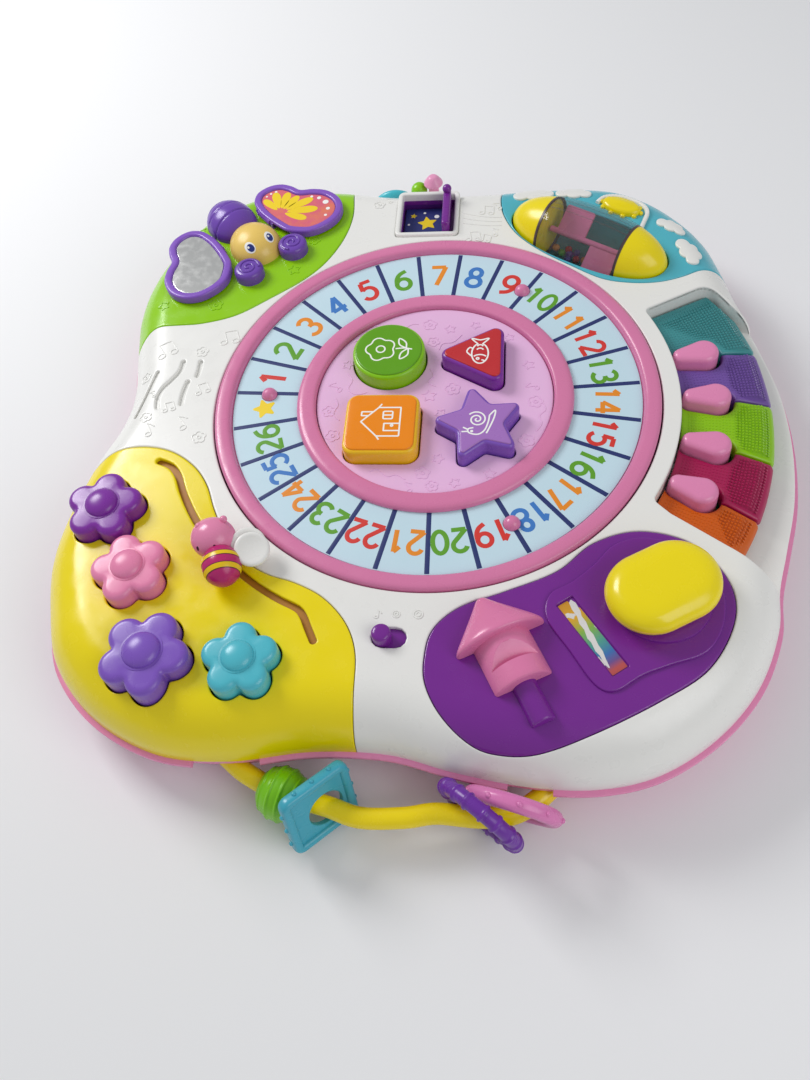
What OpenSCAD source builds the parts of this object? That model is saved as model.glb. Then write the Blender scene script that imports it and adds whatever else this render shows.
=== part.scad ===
// Musical activity table: the play tray of a baby's activity table, without its plug-in legs.
// Origin on the dial's axis at the underside, +X to the right, +Y to the back, +Z up, millimetres.

/* [Case] */
// Height of the flat top face above the underside
top_z = 64; // [60:1:68]
// Height at which the top shell sits on the bottom shell
seam_z = 30; // [28:1:32]
// Wall of the moulded shells
wall = 2.5; // [2:0.5:3]
// Width of the rounded edge of the top shell, seen from above
edge_run = 30; // [26:1:32]
// How far the rim of the bottom shell stands out past the top shell
rim = 3; // [2:0.5:4]
// Radius of the sockets that take the legs
leg_r = 15; // [12:0.5:16]
// Depth of the sockets that take the legs
leg_depth = 22; // [18:1:24]

/* [Dial] */
// Outer radius of the turning dial
dial_r = 138; // [136:0.5:138.2]
// Radius of the fixed disc in the middle of the dial
hub_r = 74; // [73.5:0.1:74.2]
// Inner radius of the dial's label
label_in = 85.5; // [84:0.5:88]
// Outer radius of the dial's label
label_out = 127; // [124:0.5:128]
// Radius of the three grip balls on the dial
grip_r = 5; // [4:0.5:6]

/* [Buttons] */
// Travel of every push button
press = 3; // [2:0.5:3.5]
// Height of the faces of the four shape buttons
shape_z = 74; // [72:1:76]
// Height of the tops of the flower buttons
flower_z = 75; // [73:1:77]

/* [Keyboard] */
// Radius at which the keys begin
key_in = 150.6; // [150.4:0.1:151]
// Radius at which the keys end
key_out = 206; // [202:1:207]
// Height of the white-note keys
key_z = 55; // [52:1:57]
// Height of the pink keys
sharp_z = 63; // [61:1:65]

/* [Roller] */
// Largest radius of the rolling drum
roller_r = 23.5; // [22:0.5:24]
// Half of the length of the rolling drum from tip to tip
roller_half = 58; // [56:1:59]

/* [Bead bar] */
// Radius of the bar under the front edge
bar_r = 5.75; // [5:0.25:6]
// Height of the bar above the underside
bar_z = 20; // [20:0.5:21]

/* [Hidden] */

fit = 0.05;      // radial clearance of a pin in its bore
gap = 0.8;       // clearance of a button in its hole
inner_z = top_z - wall;
$fn = 64;

// Outline of the rim, seen from above, counter-clockwise from the front left corner
case_points = [[-224, -147], [-211, -180], [-182, -209], [-142, -227], [-100, -229], [-56, -222],
    [-15, -222], [20, -230], [58, -236], [95, -236], [128, -227], [159, -206], [183, -178],
    [197, -146], [201, -120], [208, -95], [217, -60], [221, -20], [219, 20], [210, 60],
    [200, 95], [194, 120], [186, 145], [172, 168], [150, 191], [120, 207], [78, 211], [20, 208],
    [-35, 208], [-78, 215], [-118, 217], [-155, 207], [-186, 184], [-205, 152], [-217, 118],
    [-220, 85], [-215, 50], [-209, 15], [-211, -12], [-221, -42], [-229, -80], [-231, -114]];
case_steps = 3;

// ---------- curves, lofts and sweeps ----------

// One span of a Catmull-Rom curve from b to c
function span(a, b, c, d, t) =
    0.5 * (2 * b + (c - a) * t + (2 * a - 5 * b + 4 * c - d) * t * t + (3 * b - a - 3 * c + d) * t * t * t);

// Points of the closed smooth curve through p, n to a span
function closed_curve(p, n) = [for (i = [0 : len(p) - 1], k = [0 : n - 1])
    let (m = len(p)) span(p[(i + m - 1) % m], p[i], p[(i + 1) % m], p[(i + 2) % m], k / n)];

// Points of the open smooth curve through p, n to a span
function open_curve(p, n) = concat([for (i = [0 : len(p) - 2], k = [0 : n - 1])
    let (m = len(p) - 1) span(p[max(i - 1, 0)], p[i], p[i + 1], p[min(i + 2, m)], k / n)], [p[len(p) - 1]]);

// Unit normal of the closed curve p at its point i, to the inside
function inward(p, i) =
    let (t = p[(i + 1) % len(p)] - p[(i + len(p) - 1) % len(p)]) [-t[1], t[0]] / norm(t);

// The closed curve p moved inwards by d
function inset(p, d) = [for (i = [0 : len(p) - 1]) p[i] + d * inward(p, i)];

// The flat ring p lifted to height z
function lift(p, z) = [for (q = p) [q[0], q[1], z]];

// Points of the arc about the origin with radius r from angle a to angle b
function arc(r, a, b, n) = [for (i = [0 : n]) let (t = a + (b - a) * i / n) r * [cos(t), sin(t)]];

// A band of half-width w along the open curve p
function band(p, w) = concat([for (i = [0 : len(p) - 1]) p[i] + w * across(p, i)],
    [for (i = [len(p) - 1 : -1 : 0]) p[i] - w * across(p, i)]);
function across(p, i) = let (t = p[min(i + 1, len(p) - 1)] - p[max(i - 1, 0)]) [-t[1], t[0]] / norm(t);

// The two triangles between point i of ring j and the next point of ring h, for rings of n points
function patch(j, h, i, n) = let (k = (i + 1) % n)
    [[j * n + i, h * n + i, h * n + k], [j * n + i, h * n + k, j * n + k]];

// Solid through a stack of rings that run counter-clockwise, closed flat at both ends
module loft(rings) {
    n = len(rings[0]);
    m = len(rings);
    polyhedron(points = [for (r = rings) each r],
        faces = concat([[for (i = [0 : n - 1]) i]], [[for (i = [n - 1 : -1 : 0]) (m - 1) * n + i]],
            [for (j = [0 : m - 2], i = [0 : n - 1]) each patch(j, j + 1, i, n)]));
}

// Wall through a stack of rings whose last ring joins the first
module loft_wall(rings) {
    n = len(rings[0]);
    m = len(rings);
    polyhedron(points = [for (r = rings) each r],
        faces = [for (j = [0 : m - 1], i = [0 : n - 1]) each patch(j, (j + 1) % m, i, n)]);
}

// Tube of radius r along the points p, with n sides that stay level
module sweep(p, r, n) {
    loft([for (i = [0 : len(p) - 1])
        let (t = p[min(i + 1, len(p) - 1)] - p[max(i - 1, 0)], u = t / norm(t),
            s = [u[1], -u[0], 0] / norm([u[1], u[0]]), v = cross(s, u))
        [for (k = [0 : n - 1]) p[i] + r * (cos(360 * k / n) * s - sin(360 * k / n) * v)]]);
}

// ---------- the case ----------

case_curve = closed_curve(case_points, case_steps);

// Distance in from the rim and height of a point of the rounded edge, a from 0 at the seam to 90
function edge_out(a) = [rim + edge_run * (1 - cos(a)), seam_z + (top_z - seam_z) * sin(a)];
function edge_in(a) = [rim + wall + (edge_run - wall) * (1 - cos(a)), seam_z + (inner_z - seam_z) * sin(a)];

// Points of the case curve from control point i to control point j, moved inwards by d
function case_part(i, j, d) = [for (k = [i * case_steps : j * case_steps])
    let (m = len(case_curve), q = k % m) case_curve[q] + d * inward(case_curve, q)];

// The rounded shell, open below
module dome() {
    loft_wall(concat([for (a = [0 : 15 : 90]) lift(inset(case_curve, edge_out(a)[0]), edge_out(a)[1])],
        [for (a = [90 : -18 : 0]) lift(inset(case_curve, edge_in(a)[0]), edge_in(a)[1])]));
    translate([0, 0, inner_z]) linear_extrude(wall) polygon(inset(case_curve, rim + edge_run));
}

// The rounded edge beside control points i to j, filled up to the points far and drawn on below the seam
module dome_outside(i, j, far) {
    low = edge_out(0) - 0.2 * (edge_out(15) - edge_out(0));
    loft([for (q = concat([low], [for (a = [15 : 15 : 90]) edge_out(a)]))
        lift(concat(case_part(i, j, q[0]), far), q[1])]);
}

// The room under the same stretch, its roof lowered by drop
module dome_inside(i, j, far, drop) {
    loft([for (a = [0 : 18 : 90])
        lift(concat(case_part(i, j, edge_in(a)[0] + drop), far),
            a == 0 ? seam_z - 4 : edge_in(a)[1] - drop)]);
}

// The same stretch as a shell, open below
module dome_part(i, j, far) {
    difference() {
        dome_outside(i, j, far);
        dome_inside(i, j, far, 0);
    }
}

// Tops of the case bosses: place and the height to which each stands inside the top shell
boss_at = [[-170, -22, inner_z], [-55, 172, inner_z], [138, 84, inner_z], [-12, -195, 60],
    [178, -136, 57.5], [-150, 50, inner_z]];
boss_r = 4.5;
screw_r = 1.6;
screw_head_r = 3.2;
screw_head_z = 8;
leg_at = [[-150, -150], [128, -172], [-150, 128], [132, 120]];
battery_box = [66, 58, 20];
battery_at = [-10, -100];
main_board = [110, 80, 1.6];
main_board_at = [10, 30];
main_board_z = 14;
post_r = 3;
flower_board_z = 38;
flower_board_at = [[-194, -74], [-180, -104], [-168, -126], [-146, -182], [-80, -184]];
bar_path = [[-124, -206], [-114, -213.5], [-104, -221], [-92, -229.5], [-72, -238.5], [-46, -245],
    [-28, -250], [-5, -249], [12, -246], [34, -247], [50, -245], [62, -238.5], [71, -230],
    [78.5, -221], [86, -212]];

module bottom_shell() {
    tub_out = [[18, 0], [13, 2.5], [8, 10], [5.5, 20], [5, 27], [0, 27], [0, seam_z]];
    tub_in = [[rim + 3.5, seam_z], [rim + 5, 20], [rim + 7.5, 10.5], [rim + 11, 5], [rim + 18, 2],
        [rim + 18, 0]];
    battery_corner = battery_at - [battery_box[0], battery_box[1]] / 2;
    color("hotpink")
    difference() {
        union() {
            loft_wall([for (q = concat(tub_out, tub_in)) lift(inset(case_curve, q[0]), q[1])]);
            linear_extrude(wall) polygon(inset(case_curve, rim + 16));
            for (p = leg_at) translate(p) cylinder(r = leg_r + wall, h = leg_depth + wall);
            for (p = boss_at) translate([p[0], p[1]]) cylinder(r = boss_r, h = seam_z, $fn = 24);
            translate(battery_corner - [2, 2])
                cube([battery_box[0] + 4, battery_box[1] + 4, battery_box[2] + 2]);
            for (x = [-1, 1], y = [-1, 1])
                translate(main_board_at + [x * (main_board[0] / 2 - 5), y * (main_board[1] / 2 - 5)])
                    cylinder(r = post_r, h = main_board_z, $fn = 24);
            for (p = flower_board_at) translate(p) cylinder(r = post_r, h = flower_board_z, $fn = 24);
            for (s = [0, len(bar_path) - 1])
                translate([bar_path[s][0], bar_path[s][1], wall - 0.5])
                    cylinder(r = bar_r + 3, h = bar_z + 6);
        }
        for (p = leg_at) translate([p[0], p[1], -1]) cylinder(r = leg_r, h = leg_depth + 1);
        for (p = boss_at) translate([p[0], p[1], -1]) {
            cylinder(r = screw_head_r, h = screw_head_z + 1, $fn = 24);
            cylinder(r = screw_r, h = seam_z + 2, $fn = 24);
        }
        translate([battery_corner[0], battery_corner[1], -1])
            cube([battery_box[0], battery_box[1], battery_box[2] + 1]);
        translate([battery_corner[0] - 3, battery_corner[1] - 3, -1])
            cube([battery_box[0] + 6, battery_box[1] + 6, 1.5 + 1]);
        for (e = [[0, 1], [len(bar_path) - 1, len(bar_path) - 2]]) bar_end_cut(e[0], e[1]);
    }
}

// Room for the end of the bar: a bore from the boss to the outside, and a gap in the rim above it
module bar_end_cut(i, j) {
    a = bar_path[i];
    t = bar_path[j] - a;
    translate([a[0], a[1], bar_z]) rotate([0, 90, atan2(t[1], t[0])]) translate([0, 0, -0.5])
        cylinder(r = bar_r + 1, h = 34);
    translate([a[0], a[1], seam_z - 7]) rotate(atan2(t[1], t[0])) translate([17, -9, 0]) cube([24, 18, 12]);
}

module top_shell() {
    color("whitesmoke")
    difference() {
        union() {
            dome();
            for (p = boss_at) translate([p[0], p[1], seam_z])
                cylinder(r = boss_r, h = p[2] - seam_z + 0.2, $fn = 24);
            translate([speaker_at[0], speaker_at[1], inner_z - 1]) difference() {
                cylinder(r = speaker_r + 1, h = 1.2);
                translate([0, 0, -1]) cylinder(r = speaker_r - 2, h = 4);
            }
        }
        translate([0, 0, 40]) cylinder(r = dial_r + 1, h = 40, $fn = 128);
        for (e = [yellow_edge, green_edge, blue_edge, purple_edge]) translate([0, 0, -1]) panel_prism(e);
        translate([0, 0, bay_floor_z]) linear_extrude(40) polygon(bay_edge);
        translate([0, 0, 50]) linear_extrude(20) window_outline(frame_wall);
        translate([switch_x[0], switch_y[0], 50])
            cube([switch_x[1] - switch_x[0], switch_y[1] - switch_y[0], 20]);
        for (p = boss_at) translate([p[0], p[1], seam_z - 1]) cylinder(r = screw_r, h = 16, $fn = 24);
        for (i = [0 : 3]) translate([speaker_at[0] - 18 + 8 * i, speaker_at[1], 50])
            linear_extrude(20) polygon(band(speaker_slit, 1.5));
    }
}

module panel_prism(edge) { translate([0, 0, seam_z]) linear_extrude(60) polygon(edge); }

// ---------- coloured panels ----------

yellow_edge = concat(open_curve([[-209, -50], [-197, -43], [-178, -40], [-160, -43.5], [-144, -54],
    [-133, -68], [-125, -86], [-114, -106], [-101, -120], [-87, -128.5], [-70, -134], [-53, -143],
    [-39, -158], [-32, -176], [-31, -200], [-31.5, -218]], 3), [[-31.5, -262], [-270, -262], [-270, -60]]);
green_edge = concat(open_curve([[-206, 52], [-194, 61], [-178, 62.5], [-160, 64], [-138, 71],
    [-117, 86], [-95, 104], [-81, 122], [-71, 146], [-67.5, 170], [-70, 196]], 3),
    [[-70, 260], [-270, 260], [-270, 52]]);
blue_edge = concat(open_curve([[182, 109], [172, 106], [158, 99], [142, 94.5], [124, 94.5],
    [106, 99], [86, 112], [66, 127], [50, 144], [41, 163], [38.5, 180], [40, 196]], 3),
    [[40, 250], [240, 250], [240, 112]]);
purple_edge = closed_curve([[4.5, -178], [8, -161], [22, -147], [46, -137], [74, -124], [94, -106],
    [119, -98], [146, -105], [163, -126], [165, -150], [150, -180], [120, -200], [87, -217],
    [56, -228], [36, -224], [16, -206]], 4);

// Bee track: a groove round the dial whose ends turn away from it
bee_r = 164;
bee_angle = 226.5;
bee_slot = open_curve(concat([[-166, -51], [-158, -54.5]], arc(bee_r, 202, 246, 11),
    [[-62.6, -154.6], [-60, -160], [-55.5, -169]]), 2);
bee_slot_w = 2.1;

// Place, radius and turn of each flower button
plum = [-189.5, -89, 23, 88];
pink = [-164.5, -130, 22, 112];
violet = [-144.4, -182, 25, -5];
teal = [-92, -183.6, 21, 95];

module yellow_panel() {
    color("gold")
    difference() {
        intersection() {
            dome_part(38, 48, [[-20, -110], [-90, -20]]);
            panel_prism(yellow_edge);
        }
        for (f = [plum, pink, violet, teal])
            translate([f[0], f[1], 40]) linear_extrude(40) flower_shape(f, 1);
        translate([0, 0, 50]) linear_extrude(30) polygon(band(bee_slot, bee_slot_w));
    }
}

module green_panel() {
    color("yellowgreen")
    intersection() {
        dome_part(28, 37, [[-90, 40], [-40, 120]]);
        panel_prism(green_edge);
    }
}

// Roller: place of its axis, its turn, and the radius at distance s from its middle
roller_at = [98.4, 136.2, 61.6];
roller_turn = -31.5;
roller_band = 30.7;
function roller_radius(s, grow) = grow + roller_r * sqrt(max(0, 1 - pow(abs(s) / roller_half, 2.5)));
module roller_axis() { translate(roller_at) rotate(roller_turn) rotate([0, 90, 0]) children(); }
module revolve(p) { rotate_extrude($fn = 64) polygon(p); }
function roller_profile(a, b, n) = [for (i = [0 : n])
    let (s = a + (b - a) * i / n) [roller_radius(s, 0), s]];

// Football-shaped solid a distance grow outside the roller
module roller_envelope(grow) {
    revolve(concat([[0, -roller_half - grow]],
        [for (i = [1 : 23]) let (s = -roller_half * cos(7.5 * i)) [roller_radius(s, grow), s]],
        [[0, roller_half + grow]]));
}

module blue_panel() {
    color("mediumturquoise")
    difference() {
        union() {
            intersection() {
                dome_part(20, 28, [[20, 120], [120, 40]]);
                panel_prism(blue_edge);
            }
            difference() {
                roller_axis() roller_envelope(3.6);
                translate([0, 0, inner_z]) cylinder(r = 300, h = 60);
            }
            for (p = cloud_at)
                translate([p[0], p[1], inner_z]) linear_extrude(top_z - inner_z + 1.5) cloud(p[2], p[3]);
        }
        roller_axis() roller_envelope(1.4);
        roller_axis() translate([0, 0, -roller_half - 6])
            cylinder(r = pin_r + 0.15, h = 2 * roller_half + 12);
    }
}

// Clouds that stand on the blue panel: place, size and turn
cloud_at = [[153, 143, 8, -30], [160, 122, 9, -70]];
module cloud(s, turn) {
    rotate(turn) union() {
        circle(r = 0.62 * s);
        translate([0.75 * s, -0.1 * s]) circle(r = 0.42 * s);
        translate([-0.75 * s, -0.1 * s]) circle(r = 0.45 * s);
        translate([0.3 * s, 0.3 * s]) circle(r = 0.4 * s);
    }
}

// Whistle: a half-round body that slides on a rail, from its apex along direction whistle_turn
whistle_at = [32.7, -143];
whistle_turn = -63.4;
whistle_travel = 18;
rail_r = 6.7;
rail_from = 30;
rail_to = 76;
platform_edge = closed_curve([[70, -139], [82, -131], [94, -120], [106, -107], [124, -103],
    [146, -111], [159, -130], [159, -152], [149, -170], [130, -178], [116, -184], [102, -193],
    [92, -190], [80, -172], [68, -153]], 3);
platform_z = top_z + 1.5;
knob_at = [127.5, -139.5];
knob_turn = 29;
pin_r = 2.5;

module purple_panel() {
    color("darkorchid")
    difference() {
        union() {
            intersection() {
                dome_part(6, 14, [[100, -60], [20, -100]]);
                panel_prism(purple_edge);
            }
            translate([0, 0, inner_z]) linear_extrude(platform_z - inner_z) polygon(platform_edge);
            translate([knob_at[0], knob_at[1], inner_z]) cylinder(r = 27, h = 67 - inner_z);
            translate([knob_at[0], knob_at[1], inner_z]) cylinder(r = 4, h = 80 - inner_z);
            whistle_place(rail_from) intersection() {
                rotate([0, 90, 0]) cylinder(r = rail_r, h = rail_to - rail_from);
                translate([-1, -10, -1]) cube([80, 20, 20]);
            }
        }
        translate([90.5, -162, top_z]) rotate(-55) translate([-24, -6, 0]) cube([48, 12, 5]);
    }
}

// Puts its children on the panel, s along the whistle from its apex
module whistle_place(s) {
    translate([whistle_at[0], whistle_at[1], top_z]) rotate(whistle_turn) translate([s, 0, 0]) children();
}

// Half-ellipse of half-width w and height h at distance s, with its flat side down at height z
function half_ring(s, w, h, z) = [for (i = [0 : 16]) [s, w * cos(180 * i / 16), z + h * sin(180 * i / 16)]];

module whistle() {
    sole = 0.3;
    color("hotpink")
    difference() {
        whistle_place(0) union() {
            loft([for (q = [[0, 2.5, 3], [9, 10, 8], [22, 23, 15.5], [25.7, 25, 16.5], [26.9, 23, 15.5]])
                half_ring(q[0], q[1], q[2], sole)]);
            translate([26.9, 0, 0]) intersection() {
                translate([0, 0, -4]) rotate([0, 90, 0]) cylinder(r = 16.5, h = 27);
                translate([0, -20, sole]) cube([30, 40, 20]);
            }
        }
        whistle_place(rail_from - whistle_travel - 2) rotate([0, 90, 0]) cylinder(r = rail_r + 0.4, h = 60);
        whistle_place(34) translate([0, -9, 8.5]) cube([9, 18, 10]);
    }
}

// Stadium-shaped turning knob
module knob() {
    rows = [[0, 66.9 + 0.4], [3.5, 68.5], [6, 72], [7, 76], [6, 80.5], [3, 84], [-3, 86.4]];
    color("gold")
    difference() {
        translate([knob_at[0], knob_at[1], 0]) rotate(knob_turn) loft([for (q = rows)
            lift([for (i = [0 : 39]) let (a = 9 * i, r = 17 + q[0], side = cos(a) > 0 ? 1 : -1)
                [side * 8.5 + r * cos(a), r * sin(a)]], q[1])]);
        translate([knob_at[0], knob_at[1], 60]) cylinder(r = 4 + fit, h = 21);
    }
}

// ---------- dial ----------

tray_z = 52;
tray_top = tray_z + wall;
cup_z = 44;
disc_z = 60;
label_z = 61.5;
dial_low = tray_top + 0.1;

module dial_tray() {
    color("gainsboro")
    union() {
        rotate_extrude($fn = 128) polygon([[0, cup_z], [hub_r, cup_z], [hub_r, tray_z], [134, tray_z],
            [134, tray_top], [hub_r, tray_top], [hub_r, disc_z], [hub_r - wall, disc_z],
            [hub_r - wall, cup_z + 2], [0, cup_z + 2]]);
        for (a = [0, 76, 180, 270]) rotate(a) difference() {
            translate([128, -5, tray_z - wall]) cube([18.5, 10, inner_z - tray_z + wall]);
            translate([120, -6, tray_z]) cube([19.4, 12, 20]);
        }
    }
}

// Fixed ring round the middle disc: it guides the dial and holds it down with a lip over the label
guide_r = 84.8;
dial_in = guide_r + 0.2;
module centre_ring() {
    color("palevioletred")
    rotate_extrude($fn = 128) polygon([[hub_r + fit, tray_top], [hub_r + fit, 64.6], [75.6, 66], [82.8, 66],
        [85.2, 65], [86.2, 63.2], [86.2, label_z + 0.8], [guide_r, label_z + 0.8], [guide_r, tray_top],
        [guide_r - wall, tray_top], [guide_r - wall, 59], [hub_r + wall, 59], [hub_r + wall, tray_top]]);
}

module dial_ring() {
    color("palevioletred")
    union() {
        rotate_extrude($fn = 128) polygon([[dial_in, dial_low], [dial_in, label_z], [127.5, label_z],
            [128.4, 64.4], [130, 66], [136, 66], [dial_r, 64.2], [dial_r, dial_low],
            [dial_r - wall, dial_low], [dial_r - wall, 59], [107.5, 59], [107.5, dial_low],
            [104.5, dial_low], [104.5, 59],
            [dial_in + wall, 59], [dial_in + wall, dial_low]]);
        for (a = grip_at) rotate(a) translate([105, 0, label_z]) intersection() {
            sphere(r = grip_r);
            translate([-6, -6, -1]) cube([12, 12, 12]);
        }
    }
}
grip_at = [178.7, 59.1, -62];

module dial_label() {
    color("lightblue")
    translate([0, 0, label_z]) difference() {
        cylinder(r = label_out, h = 0.5, $fn = 128);
        translate([0, 0, -1]) cylinder(r = label_in, h = 3, $fn = 128);
        for (a = grip_at) rotate(a) translate([105, 0, -1]) cylinder(r = grip_r + 0.3, h = 3);
    }
}

// ---------- shape buttons ----------

button_at = [[-29.5, 29], [28.2, 26], [-29.5, -29], [29.5, -28.5]];
flange = 1.8;

module shape_circle(grow) { circle(r = 23 + grow); }
module shape_triangle(grow) { offset(r = 5 + grow, $fn = 32) circle(r = 19.5, $fn = 3); }
module shape_square(grow) { offset(r = 7 + grow, $fn = 32) square(31, center = true); }
module shape_star(grow) {
    offset(r = 2.5 + grow, $fn = 24) rotate(30.6)
        polygon([for (i = [0 : 9]) (i % 2 == 0 ? 24.5 : 13) * [cos(36 * i), sin(36 * i)]]);
}
module button_shape(i, grow) {
    translate(button_at[i]) {
        if (i == 0) shape_circle(grow);
        if (i == 1) mirror([1, 0]) shape_triangle(grow);
        if (i == 2) shape_square(grow);
        if (i == 3) shape_star(grow);
    }
}

module centre_disc() {
    color("plum")
    translate([0, 0, disc_z]) difference() {
        cylinder(r = hub_r - 0.4, h = 3, $fn = 128);
        for (i = [0 : 3]) translate([0, 0, -1]) linear_extrude(6) button_shape(i, gap);
    }
}

// Body of shape button i, with the flange that keeps it under the disc and the stem that presses its pad
module shape_button(i) {
    union() {
        translate([0, 0, 57]) linear_extrude(shape_z - 1.5 - 57) button_shape(i, 0);
        translate([0, 0, 57]) linear_extrude(2.4) intersection() {
            button_shape(i, gap + flange);
            circle(r = hub_r - wall - 2, $fn = 128);
        }
        translate([button_at[i][0], button_at[i][1], 50.4 + press]) cylinder(r = 5, h = 7 - press);
    }
}
module shape_face(i) { translate([0, 0, shape_z - 1.5]) linear_extrude(1.5) button_shape(i, -1.2); }

module button_circle() { color("limegreen") shape_button(0); }
module button_circle_face() { color("olivedrab") shape_face(0); }
module button_triangle() { color("purple") shape_button(1); }
module button_triangle_face() { color("firebrick") shape_face(1); }
module button_square() { color("gold") shape_button(2); }
module button_square_face() { color("darkorange") shape_face(2); }
module button_star() { color("slateblue") shape_button(3); }
module button_star_face() { color("mediumpurple") shape_face(3); }

// ---------- flower buttons ----------

// Five round petals about a middle, for the flower f = [x, y, radius, turn]
module flower_shape(f, grow) {
    union() {
        circle(r = 0.55 * f[2] + grow);
        for (k = [0 : 4]) rotate(f[3] + 72 * k) translate([0.59 * f[2], 0]) circle(r = 0.41 * f[2] + grow);
    }
}

module flower(f) {
    translate([f[0], f[1], 0]) union() {
        translate([0, 0, 47.2]) linear_extrude(flower_z - 47.2) flower_shape(f, 0);
        translate([0, 0, 47.2]) cylinder(r = 0.8 * f[2], h = 2);
        translate([0, 0, flower_z - 1]) intersection() {
            translate([0, 0, -5]) sphere(r = 0.52 * f[2]);
            translate([0, 0, 0.5]) cylinder(r = 20, h = 12);
        }
        translate([0, 0, 41.5 + press]) cylinder(r = 5, h = 7 - press);
    }
}
module flower_plum() { color("purple") flower(plum); }
module flower_pink() { color("hotpink") flower(pink); }
module flower_violet() { color("mediumpurple") flower(violet); }
module flower_teal() { color("mediumturquoise") flower(teal); }

// ---------- keyboard ----------

bay_floor_z = 38;
hinge_z = 41.6;
hinge_r = 153.6;
hinge_pin = 1.5;
key_low = 44.4;
sharp_angles = [12.3, 0.4, -11.9, -23.6];
key_sides = [[12.3, 27.4], [0.4, 12.3], [-11.9, 0.4], [-23.6, -11.9], [-36, -23.6]];
key_mid = [19.6, 6.35, -5.75, -17.75, -28.5];
bay_edge = concat(arc(149.5, -31, 27.8, 16),
    [[174, 92], [189, 77], [250, 52], [250, -150], [205, -131], [184, -119.5], [167, -107.5], [151, -96],
    [137, -86]]);
key_bounds = concat(arc(key_in, -30.4, 27.2, 16),
    [[173, 90.2], [188, 75.5], [240, 54], [240, -146], [204, -128.5], [183.5, -117.5], [166.5, -105.5],
    [150.5, -94], [137, -84]]);

module key_bed() {
    color("white")
    union() {
        translate([0, 0, bay_floor_z - wall]) linear_extrude(wall) intersection() {
            offset(delta = 2) polygon(bay_edge);
            polygon(inset(case_curve, rim + 4.2));
        }
        intersection() {
            translate([0, 0, bay_floor_z]) linear_extrude(inner_z - bay_floor_z) difference() {
                offset(delta = 2) polygon(bay_edge);
                polygon(bay_edge);
            }
            dome_inside(12, 22, [[100, 110], [100, -130]], 0.2);
        }
        for (a = key_mid) rotate(a) key_ears(4.3);
        for (a = sharp_angles) rotate(a) key_ears(2.3);
    }
}

// Two ears and the pin between them, for a knuckle that is half wide to each side
module key_ears(half) {
    for (s = [-1, 1]) translate([hinge_r - 2.5, s * (half + 1) - 1, bay_floor_z - 0.1]) cube([5, 2, 5.8]);
    translate([hinge_r, half + 1.5, hinge_z]) rotate([90, 0, 0])
        cylinder(r = hinge_pin, h = 2 * half + 3, $fn = 32);
}

// Knuckle under a key
module knuckle(half) {
    translate([hinge_r - 3, -half + 0.3, hinge_z - 3])
        cube([6, 2 * half - 0.6, key_low + 0.2 - hinge_z + 3]);
}
module knuckle_bore(half) {
    translate([hinge_r, half + 3, hinge_z]) rotate([90, 0, 0])
        cylinder(r = hinge_pin + fit, h = 2 * half + 6, $fn = 32);
}

module sharp_shape(grow) {
    hull() {
        translate([key_in + 5.2, 0]) circle(r = 5 + grow, $fn = 32);
        translate([169.5, 0]) circle(r = 11 + grow, $fn = 32);
    }
}

module natural(i) {
    difference() {
        union() {
            translate([0, 0, key_low]) linear_extrude(key_z - key_low) intersection() {
                polygon(concat(arc(key_in, key_sides[i][0] + 0.12, key_sides[i][1] - 0.12, 4),
                    arc(key_out, key_sides[i][1] - 0.12, key_sides[i][0] + 0.12, 4)));
                polygon(key_bounds);
            }
            rotate(key_mid[i]) knuckle(4.3);
        }
        for (a = sharp_angles, d = [0, 1.4])
            translate([0, 0, key_low - 1]) rotate(a) translate([d, 0, 0])
                linear_extrude(30) sharp_shape(gap);
        rotate(key_mid[i]) knuckle_bore(4.3);
        rotate(key_mid[i]) translate([key_out - 9, -30, key_z]) rotate([0, 42, 0]) cube([30, 60, 12]);
    }
}
module sharp(i) {
    rotate(sharp_angles[i]) difference() {
        union() {
            translate([0, 0, key_low]) linear_extrude(sharp_z - key_low) sharp_shape(0);
            knuckle(2.3);
        }
        knuckle_bore(2.3);
    }
}
module key_teal() { color("cadetblue") natural(0); }
module key_purple() { color("rebeccapurple") natural(1); }
module key_lime() { color("yellowgreen") natural(2); }
module key_magenta() { color("mediumvioletred") natural(3); }
module key_orange() { color("chocolate") natural(4); }
module sharp_1() { color("pink") sharp(0); }
module sharp_2() { color("pink") sharp(1); }
module sharp_3() { color("pink") sharp(2); }
module sharp_4() { color("pink") sharp(3); }

// ---------- window, shutter, switch, speaker ----------

window_x = [-32, 5.6];
window_y = [147, 186];
well_z = 49;
shutter_travel = 28;

frame_wall = 3.5;
well_top = 57;
garage_end = 38;
shutter_z = 54.5;

// Window opening, grown by d
module window_outline(d) {
    translate([window_x[0] - d, window_y[0] - d])
        square([window_x[1] - window_x[0] + 2 * d, window_y[1] - window_y[0] + 2 * d]);
}

module window_frame() {
    color("white")
    translate([0, 0, well_top]) linear_extrude(top_z + 1.6 - well_top) difference() {
        window_outline(frame_wall);
        window_outline(0);
    }
}

// Tray under the window, with the pocket into which the shutter slides
module window_well() {
    color("indigo")
    difference() {
        union() {
            translate([0, 0, well_z]) linear_extrude(well_top - well_z) window_outline(frame_wall);
            translate([0, window_y[0] - 2, well_z])
                cube([garage_end, window_y[1] - window_y[0] + 4, well_top - well_z]);
        }
        translate([0, 0, well_z + 2]) linear_extrude(20) window_outline(0);
        translate([0, window_y[0], well_z + 2]) cube([garage_end - 2, window_y[1] - window_y[0], 20]);
    }
}

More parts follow.
